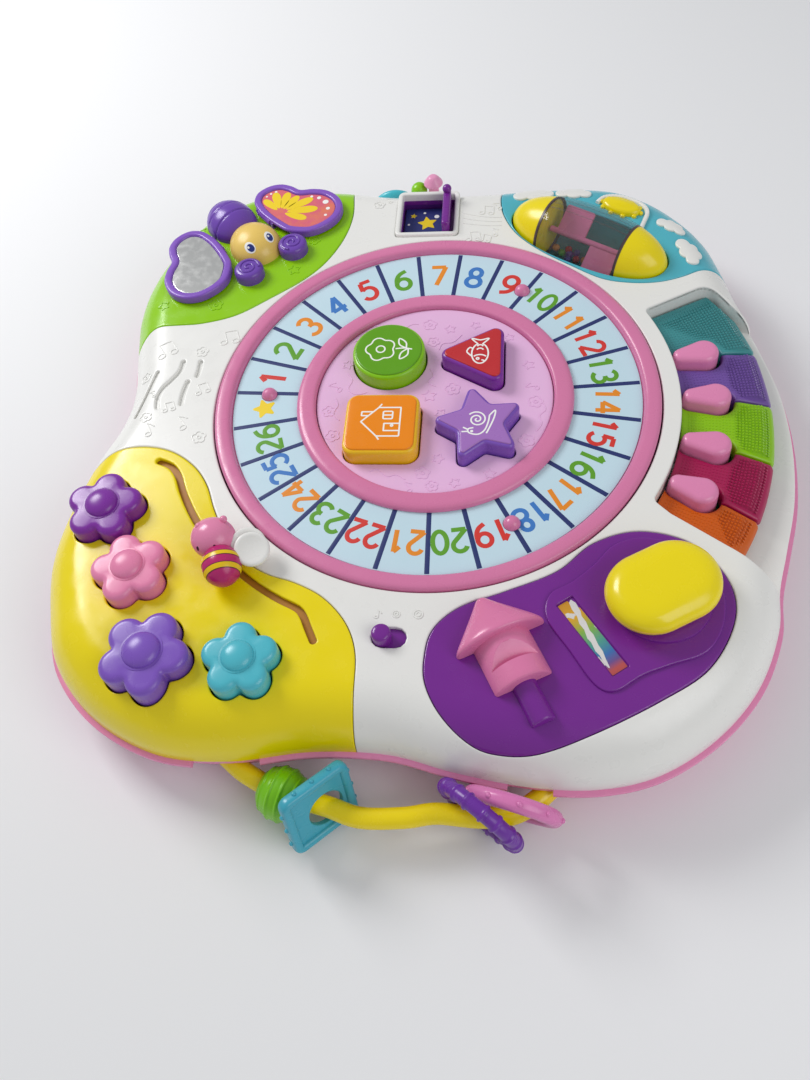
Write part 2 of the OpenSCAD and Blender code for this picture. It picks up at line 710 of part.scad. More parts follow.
module shutter() {
    color("darkorchid")
    union() {
        translate([-2.5, window_y[0] + 0.6, shutter_z]) cube([36, window_y[1] - window_y[0] - 1.2, 2]);
        translate([-2.5, window_y[0] + 1, shutter_z + 1]) cube([5.5, window_y[1] - window_y[0] - 2, 16.5]);
        translate([0.2, window_y[1] - 4.5, shutter_z + 18.5]) sphere(r = 3.2, $fn = 32);
    }
}

switch_x = [-24, -5.6];
switch_y = [-172, -160];
switch_travel = 7.4;
module switch_knob() {
    color("darkorchid")
    translate([-18.5, -166, 0]) union() {
        translate([-9, -8, 58.8]) cube([18, 16, 2.3]);
        translate([0, 0, 60]) cylinder(r = 5.3, h = 11);
    }
}

speaker_at = [-163, 17];
speaker_r = 19;
speaker_z = 42;
speaker_slit = open_curve([[-3, -17], [2, -8], [-2, 3], [4, 13]], 4);
module speaker() {
    color("dimgray")
    translate([speaker_at[0], speaker_at[1], speaker_z]) union() {
        cylinder(r = 9, h = 8);
        translate([0, 0, 8]) rotate_extrude() polygon([[0, 0], [9, 0], [speaker_r - 1, 8],
            [speaker_r - 1, 10.5], [speaker_r - 4, 10.5], [8, 3], [0, 3]]);
    }
}

module back_figures() {
    color("mediumturquoise")
    difference() {
        union() {
            translate([-35, 200, 44]) intersection() {
                sphere(r = 19);
                translate([-30, -7, -10]) cube([60, 14, 30]);
            }
            translate([-22.5, 204, 44]) cylinder(r = 2.5, h = 15);
            translate([-22.5, 204, 62]) sphere(r = 6);
            translate([-11.5, 203, 44]) cylinder(r = 4, h = 24);
            translate([-11.5, 203, 66]) cylinder(r1 = 7, r2 = 1.5, h = 9);
        }
        dome_outside(27, 30, [[-60, 150], [20, 150]]);
    }
}

// ---------- electronics and fasteners ----------

module circuit_boards() {
    color("seagreen")
    union() {
        translate([main_board_at[0] - main_board[0] / 2, main_board_at[1] - main_board[1] / 2, main_board_z])
            cube(main_board);
        translate([0, 0, cup_z + 2]) cylinder(r = 64, h = 1.6);
        translate([0, 0, flower_board_z]) linear_extrude(1.6) polygon(band(flower_board_at, 14));
        translate([0, 0, bay_floor_z]) linear_extrude(1.2)
            polygon(concat(arc(178, -30, 22, 8), arc(192, 22, -30, 8)));
    }
}

module contact_pads() {
    color("silver")
    union() {
        for (p = button_at) translate([p[0], p[1], cup_z + 3.6]) cylinder(r1 = 8, r2 = 5, h = 2.6);
        for (f = [plum, pink, violet, teal])
            translate([f[0], f[1], flower_board_z + 1.6]) cylinder(r1 = 6, r2 = 4, h = 1.8);
        for (a = key_mid) rotate(a) translate([185, 0, bay_floor_z + 1.2]) cylinder(r1 = 4, r2 = 3, h = 2);
        for (a = sharp_angles)
            rotate(a) translate([180.5, 0, bay_floor_z + 1.2]) cylinder(r1 = 2.2, r2 = 1.6, h = 2);
    }
}

module battery_door() {
    color("hotpink")
    translate(battery_at - [battery_box[0] / 2 + 2.7, battery_box[1] / 2 + 2.7]) difference() {
        cube([battery_box[0] + 5.4, battery_box[1] + 5.4, 1.5]);
        for (i = [0 : 4]) translate([20 + 6 * i, 8, -1]) cube([3, 14, 1.6]);
    }
}

module screws() {
    color("silver")
    for (p = boss_at) translate([p[0], p[1], 0]) union() {
        translate([0, 0, screw_head_z - 2.5]) cylinder(r = screw_head_r - 0.3, h = 2.5, $fn = 24);
        translate([0, 0, screw_head_z - 0.1]) cylinder(r = screw_r, h = 35, $fn = 24);
    }
}

// ---------- bead bar and its toys ----------

module bead_bar() {
    color("gold")
    sweep([for (q = open_curve(bar_path, 3)) [q[0], q[1], bar_z]], bar_r, 12);
}

module bead_ball() {
    color("limegreen")
    translate([-70, -239.3, bar_z]) rotate([0, 90, -18.5]) difference() {
        union() {
            intersection() {
                sphere(r = 14);
                translate([0, 0, -12]) cylinder(r = 20, h = 24);
            }
            for (z = [-9, -3, 3, 9]) translate([0, 0, z - 1]) cylinder(r = sqrt(196 - z * z) + 1, h = 2);
        }
        translate([0, 0, -20]) cylinder(r = bar_r + 2, h = 40);
    }
}

// Square teether: a rounded frame round a thin web with a hole for the bar, standing on the floor
square_side = 42;
module bead_square() {
    color("cadetblue")
    translate([-49.5, -246.4, 24.4]) rotate([-18, 0, 48]) rotate([90, 0, 0]) rotate(-12) difference() {
        linear_extrude(7, center = true) offset(r = 5, $fn = 32) square(square_side - 10, center = true);
        for (s = [-1, 1]) translate([0, 0, s * 4.5]) linear_extrude(6, center = true) offset(r = 3, $fn = 32)
            square(square_side - 17, center = true);
        cylinder(r = 13.4, h = 20, center = true);
    }
}

// Ring teether of mean radius ring_r, its axis turned and leaned
ring_r = 22;
ring_tube = 4.4;
module ring_bead(at, turn, lean) {
    translate(at) rotate([0, lean, turn]) rotate([0, 90, 0])
        rotate_extrude($fn = 64) translate([ring_r, 0]) circle(r = ring_tube, $fn = 32);
}
module ring_violet() { color("purple") ring_bead([35.1, -247.8, 28.2], 53.3, -7.1); }
module ring_pink() { color("hotpink") ring_bead([51.6, -242.4, 27], 75.4, -10.8); }

// ---------- butterfly and bee ----------

fly_at = [-137.5, 140];
fly_turn = 41.3;
wing_axis = 21.5;
wing_z = 67;
module fly_place() { translate([fly_at[0], fly_at[1], 0]) rotate(fly_turn) children(); }

module butterfly_body() {
    color("mediumpurple")
    fly_place() union() {
        translate([0, 31, top_z]) loft([for (k = [0 : 7]) let (c = cos(k * 12), s = sin(k * 12))
            [for (i = [0 : 23]) [18 * c * cos(15 * i), 24 * c * sin(15 * i), 20 * s]]]);
        for (s = [-1, 1]) {
            translate([18 * s, -23.5, top_z]) cylinder(r = 11, h = 15);
            for (y = [3, 22]) translate([wing_axis * s - 2, y, top_z]) cube([4, 3, 5]);
            translate([wing_axis * s, 3, wing_z]) rotate([-90, 0, 0]) cylinder(r = 1.5, h = 22, $fn = 32);
        }
    }
}

module butterfly_head() {
    color("burlywood")
    fly_place() difference() {
        translate([0, 0, top_z]) intersection() {
            sphere(r = 17);
            translate([-30, -30, 0]) cube([60, 60, 30]);
        }
        translate([0, 31, top_z - 1]) cylinder(r = 24.5, h = 60);
    }
}

// Outline of the right wing in the butterfly's own frame
module wing_shape(grow) {
    union() {
        translate([36, 30]) circle(r = 17 + grow);
        translate([48, 6.5]) circle(r = 24 + grow);
        polygon([[wing_axis, 4.5 - grow], [48, -17 - grow], [52, 30], [36, 47 + grow],
            [wing_axis, 21.5 + grow]]);
    }
}

module wing(side) {
    fly_place() mirror([side < 0 ? 1 : 0, 0, 0]) difference() {
        union() {
            translate([0, 0, wing_z - 2]) linear_extrude(5) intersection() {
                wing_shape(0);
                translate([wing_axis + 3.2, -60]) square([80, 140]);
            }
            translate([wing_axis, 6.4, wing_z]) rotate([-90, 0, 0]) cylinder(r = 2.8, h = 15.2);
            translate([wing_axis, 6.4, wing_z - 1.5]) cube([6, 15.2, 3]);
        }
        translate([0, 0, wing_z + 1.8]) linear_extrude(4) intersection() {
            wing_shape(-5);
            translate([wing_axis + 8, -60]) square([80, 140]);
        }
        translate([wing_axis, 0, wing_z]) rotate([-90, 0, 0]) cylinder(r = 1.5 + fit, h = 40, $fn = 32);
    }
}
module wing_left() { color("mediumpurple") wing(-1); }
module wing_right() { color("mediumpurple") wing(1); }
module wing_mirror() {
    color("lightgray")
    fly_place() mirror([1, 0, 0]) translate([0, 0, wing_z + 1.8]) linear_extrude(0.8) intersection() {
        wing_shape(-5.3);
        translate([wing_axis + 8.3, -60]) square([80, 140]);
    }
}

module bee_place(r, a) { rotate(a) translate([r, 0, 0]) children(); }
module bee_body() {
    color("mediumvioletred")
    union() {
        bee_place(bee_r, bee_angle) translate([0, 0, 56.4]) cylinder(r = 5, h = 2.4);
        bee_place(bee_r, bee_angle) translate([0, 0, 56.4]) cylinder(r = 1.6, h = 12, $fn = 32);
        translate([-111, -128, 76]) rotate([0, 90, -72]) revolve([for (i = [0 : 12])
            let (t = -90 + 15 * i) [11 * cos(t), 12.5 * sin(t)]]);
        translate([-96, -117.5, 77]) rotate([20, 0, -45]) intersection() {
            cylinder(r = 10, h = 3, center = true);
            translate([3, 0, 0]) cylinder(r = 10, h = 6, center = true);
        }
    }
}
module bee_head() {
    color("pink")
    difference() {
        union() {
            translate([-119, -110, 77]) sphere(r = 12);
            for (s = [-1, 1]) translate([-119 + 7 * s, -105.5 + 3 * s, 86]) sphere(r = 3.5, $fn = 32);
        }
        translate([-111, -128, 76]) rotate([0, 90, -72]) revolve([for (i = [0 : 12])
            let (t = -90 + 15 * i) [11 * cos(t), 12.5 * sin(t)]]);
    }
}

// ---------- roller ----------

module roller_drum() {
    drum_in = roller_band - 1.5;
    color("lightcyan")
    roller_axis() difference() {
        revolve(concat([[0, -roller_band]], roller_profile(-roller_band, roller_band, 10),
            [[0, roller_band]]));
        revolve(concat([[0, -drum_in]], [for (p = roller_profile(-drum_in, drum_in, 10)) [p[0] - 1.5, p[1]]],
            [[0, drum_in]]));
    }
}
module roller_caps() {
    color("gold")
    roller_axis() for (m = [0, 1]) mirror([0, 0, m]) union() {
        revolve(concat([[0, roller_band]], roller_profile(roller_band, roller_half - 0.1, 10),
            [[0, roller_half]]));
        translate([0, 0, roller_half - 2]) cylinder(r = pin_r, h = 6.5);
    }
}
module roller_paddles() {
    color("hotpink")
    roller_axis() union() {
        translate([0, 0, 1.5 - roller_band]) cylinder(r = 2, h = 2 * (roller_band - 1.5));
        for (q = [[-24, 0, 21, 19], [3, -19, 21, 19]]) translate([q[1], -1, q[0]]) cube([q[3], 2, q[2]]);
    }
}

bottom_shell();
top_shell();
yellow_panel();
green_panel();
blue_panel();
purple_panel();
centre_disc();
centre_ring();
dial_tray();
key_bed();
window_frame();
window_well();
circuit_boards();
contact_pads();
speaker();
battery_door();
screws();
bead_bar();
butterfly_body();
butterfly_head();
back_figures();
wing_left();
wing_mirror();
wing_right();
dial_ring();
dial_label();
button_circle();
button_circle_face();
button_triangle();
button_triangle_face();
button_square();
button_square_face();
button_star();
button_star_face();
flower_plum();
flower_pink();
flower_violet();
flower_teal();
key_teal();
key_purple();
key_lime();
key_magenta();
key_orange();
sharp_1();
sharp_2();
sharp_3();
sharp_4();
bee_body();
bee_head();
whistle();
knob();
roller_drum();
roller_caps();
roller_paddles();
shutter();
switch_knob();
bead_ball();
bead_square();
ring_violet();
ring_pink();
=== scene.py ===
"""Dressed model of a baby's musical activity table: a lobed tray of glossy moulded plastic with a number
dial, shape and flower buttons, a small keyboard, sliding and turning toys and a bar of teethers.
Lengths are in millimetres until add_piece makes them metres. Origin on the dial's axis at the underside."""
import bmesh
import bpy
import numpy as np
from mathutils import Matrix, Vector
from mathutils.geometry import delaunay_2d_cdt


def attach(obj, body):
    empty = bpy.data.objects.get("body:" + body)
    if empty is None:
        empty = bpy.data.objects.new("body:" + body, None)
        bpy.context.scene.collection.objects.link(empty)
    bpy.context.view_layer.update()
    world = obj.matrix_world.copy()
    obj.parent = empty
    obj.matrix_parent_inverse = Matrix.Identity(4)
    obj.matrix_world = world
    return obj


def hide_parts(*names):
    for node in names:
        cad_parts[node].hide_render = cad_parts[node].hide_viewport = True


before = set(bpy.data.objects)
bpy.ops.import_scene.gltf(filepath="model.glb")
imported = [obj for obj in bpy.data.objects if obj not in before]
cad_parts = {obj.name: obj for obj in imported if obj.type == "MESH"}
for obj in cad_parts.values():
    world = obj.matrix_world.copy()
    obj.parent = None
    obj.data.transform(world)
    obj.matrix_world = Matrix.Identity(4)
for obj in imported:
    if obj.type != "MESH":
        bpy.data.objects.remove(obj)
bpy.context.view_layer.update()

# ---------- Camera, floor and light ----------
# A camera above the front edge, looking down at the tray as it lies on a plain pale floor.
# Two wide soft lamps and an even white world light it.
camera_axes = [[0.99304754, 0.07065514, -0.09415108],
               [0.01159288, -0.8546427, -0.51908715],
               [-0.11714171, 0.51438673, -0.84951993]]
right, down, ahead = (Vector(axis) for axis in camera_axes)
camera = bpy.data.objects.new("camera", bpy.data.cameras.new("camera"))
camera_turn = Matrix((right, -down, -ahead)).transposed().to_4x4()
camera.matrix_world = Matrix.Translation((0.0511, -0.3756, 0.5099)) @ camera_turn
camera.data.lens = 31.06
camera.data.sensor_width = 36
camera.data.clip_start = 0.01
bpy.context.collection.objects.link(camera)
bpy.context.scene.camera = camera
bpy.context.scene.view_settings.view_transform = "Standard"

floor_mesh = bpy.data.meshes.new("floor")
floor_mesh.from_pydata([(-6, -6, 0), (6, -6, 0), (6, 6, 0), (-6, 6, 0)], [], [(0, 1, 2, 3)])
floor_mesh.transform(Matrix.Translation((0, 0, -0.0004)))
floor = bpy.data.objects.new("floor", floor_mesh)
bpy.context.collection.objects.link(floor)


def set_inputs(node, **inputs):
    """Gives a node's inputs their values by name, where an underscore stands for a space."""
    for name, value in inputs.items():
        node.inputs[name.replace("_", " ")].default_value = value
    return node


def new_material(name, **inputs):
    """A material whose shader has these inputs, with its nodes, its call that links and its shader."""
    material = bpy.data.materials.new(name)
    material.use_nodes = True
    nodes, link = material.node_tree.nodes, material.node_tree.links.new
    return material, nodes, link, set_inputs(nodes["Principled BSDF"], **inputs)


paper = new_material("studio_paper", Base_Color=(0.83, 0.83, 0.84, 1), Roughness=0.9)[0]
floor_mesh.materials.append(paper)

world = bpy.data.worlds.new("studio")
bpy.context.scene.world = world
world.use_nodes = True
set_inputs(world.node_tree.nodes["Background"], Color=(0.95, 0.97, 1.0, 1), Strength=0.42)
for name, place, power, size in (("key", (-0.95, 0.6, 0.95), 12.5, 0.55),
                                 ("fill", (0.95, -0.7, 0.9), 6.2, 0.9)):
    lamp = bpy.data.objects.new(name, bpy.data.lights.new(name, "AREA"))
    lamp.data.energy, lamp.data.size, lamp.location = power, size, place
    lamp.rotation_euler = (-Vector(place)).to_track_quat("-Z", "Y").to_euler()
    bpy.context.collection.objects.link(lamp)

# ---------- Bottom shell ----------
# The pink lower half of the case: a tub moulded in one piece with the lip that shows all round.
# The lip stops at two gaps, where the ends of the bead bar pass through it.
seam_z, top_z, rim = 30, 64, 3
case_points = [(-224, -147), (-211, -180), (-182, -209), (-142, -227), (-100, -229), (-56, -222), (-15, -222),
    (20, -230), (58, -236), (95, -236), (128, -227), (159, -206), (183, -178), (197, -146), (201, -120),
    (208, -95), (217, -60), (221, -20), (219, 20), (210, 60), (200, 95), (194, 120), (186, 145), (172, 168),
    (150, 191), (120, 207), (78, 211), (20, 208), (-35, 208), (-78, 215), (-118, 217), (-155, 207),
    (-186, 184), (-205, 152), (-217, 118), (-220, 85), (-215, 50), (-209, 15), (-211, -12), (-221, -42),
    (-229, -80), (-231, -114)]


def curve_through(points, n, closed=False):
    """Catmull-Rom curve with n steps to a span: half of 2b + (c-a)t + (2a-5b+4c-d)t2 + (3b-a-3c+d)t3."""
    p = np.asarray(points, float)
    if not closed:
        p = np.concatenate([p[:1], p, p[-1:]])
    a, b, c, d = (np.roll(p, k, 0)[:, None] for k in (1, 0, -1, -2))
    t = (np.arange(n) / n)[None, :, None]
    q = 0.5 * (2 * b + (c - a) * t + (2 * a - 5 * b + 4 * c - d) * t ** 2 + (3 * b - a - 3 * c + d) * t ** 3)
    q = q.reshape(-1, p.shape[1])
    return q if closed else np.concatenate([q[n:-2 * n], p[-1:]])


def inward(loop):
    """Unit normals of a counter-clockwise loop: the chord from each point's last to its next, turned left."""
    t = np.roll(loop, -1, 0) - np.roll(loop, 1, 0)
    return np.stack([-t[:, 1], t[:, 0]], 1) / np.linalg.norm(t, axis=1)[:, None]


def inset(loop, d):
    """The loop with each point moved by d along its inward normal."""
    return loop + d * inward(loop)


def carry(loop, profile):
    """Profile carried round a loop: row j is the loop moved in by profile[j][0] at the height
    profile[j][1]."""
    p = np.asarray(profile, float)
    rows = loop[None] + p[:, 0, None, None] * inward(loop)[None]
    return np.concatenate([rows, np.broadcast_to(p[:, 1, None, None], rows.shape[:2] + (1,))], 2)


def skin(rows, ends="capped", wrap=True):
    """Quads between neighbours in a grid of points. The columns wrap round, and the rows are joined last to
    first, capped with a flat face at each end, or left open."""
    m, n = rows.shape[:2]
    j, i = np.meshgrid(np.arange(m if ends == "joined" else m - 1), np.arange(n if wrap else n - 1),
                       indexing="ij")
    j, i, k, h = j.ravel(), i.ravel(), (i.ravel() + 1) % n, (j.ravel() + 1) % m
    faces = list(np.stack([j * n + i, j * n + k, h * n + k, h * n + i], 1))
    if ends == "capped":
        faces += [np.arange(n)[::-1], (m - 1) * n + np.arange(n)]
    return rows.reshape(-1, 3), faces


def add_piece(name, parts, material, body, replaces=(), sharp=42):
    """One object from (points, faces) parts: its points that coincide are merged, faces turned outwards, and
    edges that turn by more than the sharp angle kept sharp."""
    mesh = bpy.data.meshes.new(name)
    points = np.concatenate([p for p, _ in parts]) * 0.001
    starts = np.cumsum([0] + [len(p) for p, _ in parts])
    faces = [f + s for (_, fs), s in zip(parts, starts) for f in fs]
    sizes = np.array([len(f) for f in faces])
    mesh.vertices.add(len(points))
    mesh.vertices.foreach_set("co", points.ravel())
    mesh.loops.add(int(sizes.sum()))
    mesh.loops.foreach_set("vertex_index", np.concatenate(faces).astype(np.int32))
    mesh.polygons.add(len(faces))
    mesh.polygons.foreach_set("loop_start", (np.cumsum(sizes) - sizes).astype(np.int32))
    mesh.update(calc_edges=True)
    mesh.validate()
    work = bmesh.new()
    work.from_mesh(mesh)
    bmesh.ops.remove_doubles(work, verts=work.verts, dist=2e-6)
    bmesh.ops.recalc_face_normals(work, faces=work.faces)
    work.to_mesh(mesh)
    work.free()
    mesh.polygons.foreach_set("use_smooth", np.ones(len(mesh.polygons), bool))
    mesh.set_sharp_from_angle(angle=np.radians(sharp))
    mesh.materials.append(material)
    piece = bpy.data.objects.new(name, mesh)
    bpy.context.collection.objects.link(piece)
    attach(piece, body)
    if replaces:
        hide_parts(*replaces)
    return piece


def linear(code):
    """Linear colour of a six-digit sRGB code."""
    c = np.array([int(code[k:k + 2], 16) for k in (0, 2, 4)]) / 255
    return (*np.where(c <= 0.04045, c / 12.92, ((c + 0.055) / 1.055) ** 2.4), 1)


def new_node(nodes, kind, **inputs):
    """A new shader node of a kind with these inputs."""
    return set_inputs(nodes.new("ShaderNode" + kind), **inputs)


def colour_mix(nodes, high, low=(0.5, 0.5, 0.5, 1)):
    """A node that goes from the colour low, its input 6, to the colour high, its input 7."""
    mix = new_node(nodes, "Mix")
    mix.data_type = "RGBA"
    mix.inputs[6].default_value, mix.inputs[7].default_value = low, high
    return mix


def moulded(name, code, rough=0.27, peel=0.02, tint=0.05, grain=1400):
    """Glossy moulded plastic: its colour drifts by tint either way over the part, fine scuffs take the
    roughness from 0.05 below rough to 0.09 above it, and the skin has a faint orange peel."""
    material, nodes, link, shader = new_material(name)
    place = new_node(nodes, "TexCoord")
    drift, scuff, skin_noise = (new_node(nodes, "TexNoise", Scale=scale, Detail=detail)
                                for scale, detail in ((14, 3), (90, 8), (grain, 2)))
    colour = np.array(linear(code)[:3])
    low, high = ((*np.clip(colour * share, 0, 1), 1) for share in (1 - tint, 1 + tint))
    mix = colour_mix(nodes, high, low)
    spread = new_node(nodes, "MapRange", From_Min=0.35, From_Max=0.7, To_Min=rough - 0.05,
                      To_Max=rough + 0.09)
    bump = new_node(nodes, "Bump", Strength=peel, Distance=0.001)
    for noise in (drift, scuff, skin_noise):
        link(place.outputs["Object"], noise.inputs["Vector"])
    link(drift.outputs["Fac"], mix.inputs[0])
    link(mix.outputs[2], shader.inputs["Base Color"])
    link(scuff.outputs["Fac"], spread.inputs["Value"])
    link(spread.outputs["Result"], shader.inputs["Roughness"])
    link(skin_noise.outputs["Fac"], bump.inputs["Height"])
    link(bump.outputs["Normal"], shader.inputs["Normal"])
    return material


def ring_of(r, n=96, at=(0, 0)):
    """Circle of radius r about at, counter-clockwise."""
    a = np.linspace(0, 2 * np.pi, n, endpoint=False)
    return np.stack([at[0] + r * np.cos(a), at[1] + r * np.sin(a)], 1)


def turned(profile, at=(0, 0), n=96, ends="joined"):
    """Profile of (radius, height) points turned about the upright axis through at."""
    p = np.asarray(profile, float)
    a = np.linspace(0, 2 * np.pi, n, endpoint=False)
    z = np.broadcast_to(p[:, 1, None], (len(p), n))
    return skin(np.stack([at[0] + p[:, :1] * np.cos(a), at[1] + p[:, :1] * np.sin(a), z], 2), ends)


def in_loop(q, loop):
    """True for the points of q inside the loop: a ray to the right crosses an odd number of its sides."""
    a, b = loop, np.roll(loop, -1, 0)
    x, y = q[:, :1], q[:, 1:]
    spans = (a[:, 1] > y) != (b[:, 1] > y)
    with np.errstate(divide="ignore", invalid="ignore"):
        cross = a[:, 0] + (y - a[:, 1]) / (b[:, 1] - a[:, 1]) * (b[:, 0] - a[:, 0])
    return (spans & (x < cross)).sum(1) % 2 == 1


def distance(q, loop):
    """Distance from each point of q to the loop: to its foot on each side, kept within that side."""
    side = np.roll(loop, -1, 0) - loop
    t = np.clip(((q[:, None] - loop) * side).sum(2) / np.maximum((side ** 2).sum(1), 1e-9), 0, 1)
    return np.linalg.norm(q[:, None] - loop - t[..., None] * side, axis=2).min(1)


def plate(inside, outside, height, under, edge, rings=(), soft=None):
    """Sheet over the region inside every inside loop and outside every outside loop. Its top follows height
    and falls by a quarter circle of radius edge at the soft loops; a skirt joins it to under. Both heights
    are numbers, or functions of the points."""
    steps = np.array([0, 0.08, 0.3, 0.62, 1.0, 1.7]) * edge
    lines = [inset(l, e) for l in inside for e in steps] + [inset(l, -e) for l in outside for e in steps]
    lines += list(rings)
    sides, first = [], 0
    for line in lines:
        k = np.arange(len(line))
        sides += np.stack([first + k, first + (k + 1) % len(line)], 1).tolist()
        first += len(line)
    net = delaunay_2d_cdt(list(map(Vector, np.concatenate(lines).tolist())), sides, [], 0, 1e-4)
    q, tri = np.array(net[0]), np.array(net[2])
    centre = q[tri].mean(1)
    keep = np.ones(len(tri), bool)
    for loop in inside:
        keep &= in_loop(centre, loop)
    for loop in outside:
        keep &= ~in_loop(centre, loop)
    used, tri = np.unique(tri[keep], return_inverse=True)
    q, tri = q[used], tri.reshape(-1, 3)
    fall = np.zeros(len(q))
    for loop in (list(inside) + list(outside) if soft is None else soft):
        e = np.clip(distance(q, loop) / edge, 0, 1)
        fall = np.maximum(fall, edge * (1 - np.sqrt(1 - (1 - e) ** 2)))
    top = (height(q) if callable(height) else height) - fall
    low = np.minimum(under(q) if callable(under) else under, top - 0.1)
    sides = np.concatenate([tri[:, [0, 1]], tri[:, [1, 2]], tri[:, [2, 0]]])
    _, where, times = np.unique(np.sort(sides, 1), axis=0, return_index=True, return_counts=True)
    rim_sides = sides[where[times == 1]]
    n = len(q)
    points = np.concatenate([np.column_stack([q, top]), np.column_stack([q, low])])
    skirt = np.column_stack([rim_sides[:, ::-1], rim_sides + n])
    return points, list(tri) + list(tri[:, ::-1] + n) + list(skirt)


case_loop = curve_through(case_points, 8, True)
bar_points = [(-124, -206), (-114, -213.5), (-104, -221), (-92, -229.5), (-72, -238.5), (-46, -245),
    (-28, -250), (-5, -249), (12, -246), (34, -247), (50, -245), (62, -238.5), (71, -230), (78.5, -221),
    (86, -212)]
leg_at = [(-150, -150), (128, -172), (-150, 128), (132, 120)]
boss_at = [(-170, -22), (-55, 172), (138, 84), (-12, -195), (178, -136), (-150, 50)]
pink_rim = moulded("rim_pink", "E88DB8")
tub = [(19, 0), (15.6, 0.5), (13, 2.5), (10.2, 6), (8, 10), (6.5, 15), (5.5, 20), (5, 27), (3, 27.2), (3, 30),
    (6.5, 30), (8, 20), (10.5, 10.5), (14, 5), (19, 2.5)]
lip = np.array([(3.4, 27), (0.7, 27), (0.2, 27.2), (0, 27.7), (0, 29.3), (0.2, 29.8), (0.7, 30), (3.4, 30)])
at_gap = np.array([(-103.6, -226), (61, -236)])
gap_r = (15, 10.7)
clear = (np.linalg.norm(case_loop[:, None] - at_gap, axis=2) > gap_r).all(1)
lip_parts = []
starts = np.flatnonzero(clear & ~np.roll(clear, 1))
for start in starts:
    run = np.roll(np.arange(len(case_loop)), -start)
    run = run[:np.argmin(np.append(clear[run], False))]
    rows = carry(case_loop, lip)[:, run].transpose(1, 0, 2)
    lip_parts.append(skin(rows, "capped"))
battery_hole = np.array([(-45.5, -131.5), (25.5, -131.5), (25.5, -68.5), (-45.5, -68.5)])
holes = [ring_of(15, 64, p) for p in leg_at] + [ring_of(3.2, 24, p) for p in boss_at] + [battery_hole]
floor_plate = plate([inset(case_loop, 18.8)], holes, 2.5, 0, 0.3)
socket_line = [(15, 0.4), (15, 22), (0, 22), (0, 24.5), (17.5, 24.5), (17.5, 0.4)]
boss_line = [(3.2, 0.4), (3.2, 8), (1.8, 8), (1.8, 29.5), (4.5, 29.5), (4.5, 0.4)]
hollows = [turned(socket_line, p, 64) for p in leg_at] + [turned(boss_line, p, 24) for p in boss_at]
add_piece("pink_bottom_shell", [skin(carry(case_loop, tub), "joined"), floor_plate, *hollows, *lip_parts],
          pink_rim, "table", ["bottom_shell"])

# ---------- Top shell ----------
# The white upper half: a lobed dome with openings for the dial, four coloured panels, keyboard bay, window,
# switch and speaker. Every opening has a small moulded radius.
bay_z, shell_wall, shell_low = 38, 2.5, 29.95
white = moulded("shell_white", "E9E8E4", rough=0.3, tint=0.015)


def arc(r, a, b, n):
    """Points of the arc about the origin with radius r from angle a to b in degrees."""
    t = np.radians(np.linspace(a, b, n))
    return np.stack([r * np.cos(t), r * np.sin(t)], 1)


def rounded(points, r, n=7):
    """Polygon whose corners are arcs of radius r that touch both sides: slerp about each arc's centre."""
    p = np.asarray(points, float)
    a, b = np.roll(p, 1, 0) - p, np.roll(p, -1, 0) - p
    la, lb = np.linalg.norm(a, axis=1), np.linalg.norm(b, axis=1)
    a, b = a / la[:, None], b / lb[:, None]
    half = 0.5 * np.arccos(np.clip((a * b).sum(1), -0.99999, 0.99999))
    radius = np.minimum(np.broadcast_to(r, len(p)), 0.48 * np.minimum(la, lb) * np.tan(half))
    cut = radius / np.tan(half)
    middle = a + b
    centre = p + middle / np.linalg.norm(middle, axis=1)[:, None] * (radius / np.sin(half))[:, None]
    u, v = p + a * cut[:, None] - centre, p + b * cut[:, None] - centre
    turn = (np.pi - 2 * half)[:, None, None]
    t = np.linspace(0, 1, n)[None, :, None]
    q = centre[:, None] + (np.sin((1 - t) * turn) * u[:, None] + np.sin(t * turn) * v[:, None]) / np.sin(turn)
    return q.reshape(-1, 2)


def box_loop(x0, x1, y0, y1, r):
    """Rectangle with rounded corners."""
    return rounded([(x0, y0), (x1, y0), (x1, y1), (x0, y1)], r)


def ribbon(path, half, n=7):
    """Outline at distance half round an open path, with round ends."""
    t = np.gradient(path, axis=0)
    side = np.stack([t[:, 1], -t[:, 0]], 1) / np.linalg.norm(t, axis=1)[:, None]
    a = np.arctan2(side[[0, -1], 1], side[[0, -1], 0])
    turn = np.linspace(0, np.pi, n)[1:-1]
    end = path[-1] + half * np.stack([np.cos(a[1] + turn), np.sin(a[1] + turn)], 1)
    start = path[0] + half * np.stack([np.cos(a[0] + np.pi + turn), np.sin(a[0] + np.pi + turn)], 1)
    return np.concatenate([path + half * side, end, (path - half * side)[::-1], start])


def dome(q):
    """Height of the case: 30 at 3 mm in from the rim, rising by a quarter ellipse to 64 at 33 mm in."""
    d = distance(q, case_loop)
    return seam_z + (top_z - seam_z) * np.sqrt(1 - np.clip(1 - (d - 3) / 30, 0, 1) ** 2)


def inner_dome(q):
    """Inner face of the dome, a wall's thickness below its outer face."""
    return np.maximum(dome(q) - shell_wall, shell_low)


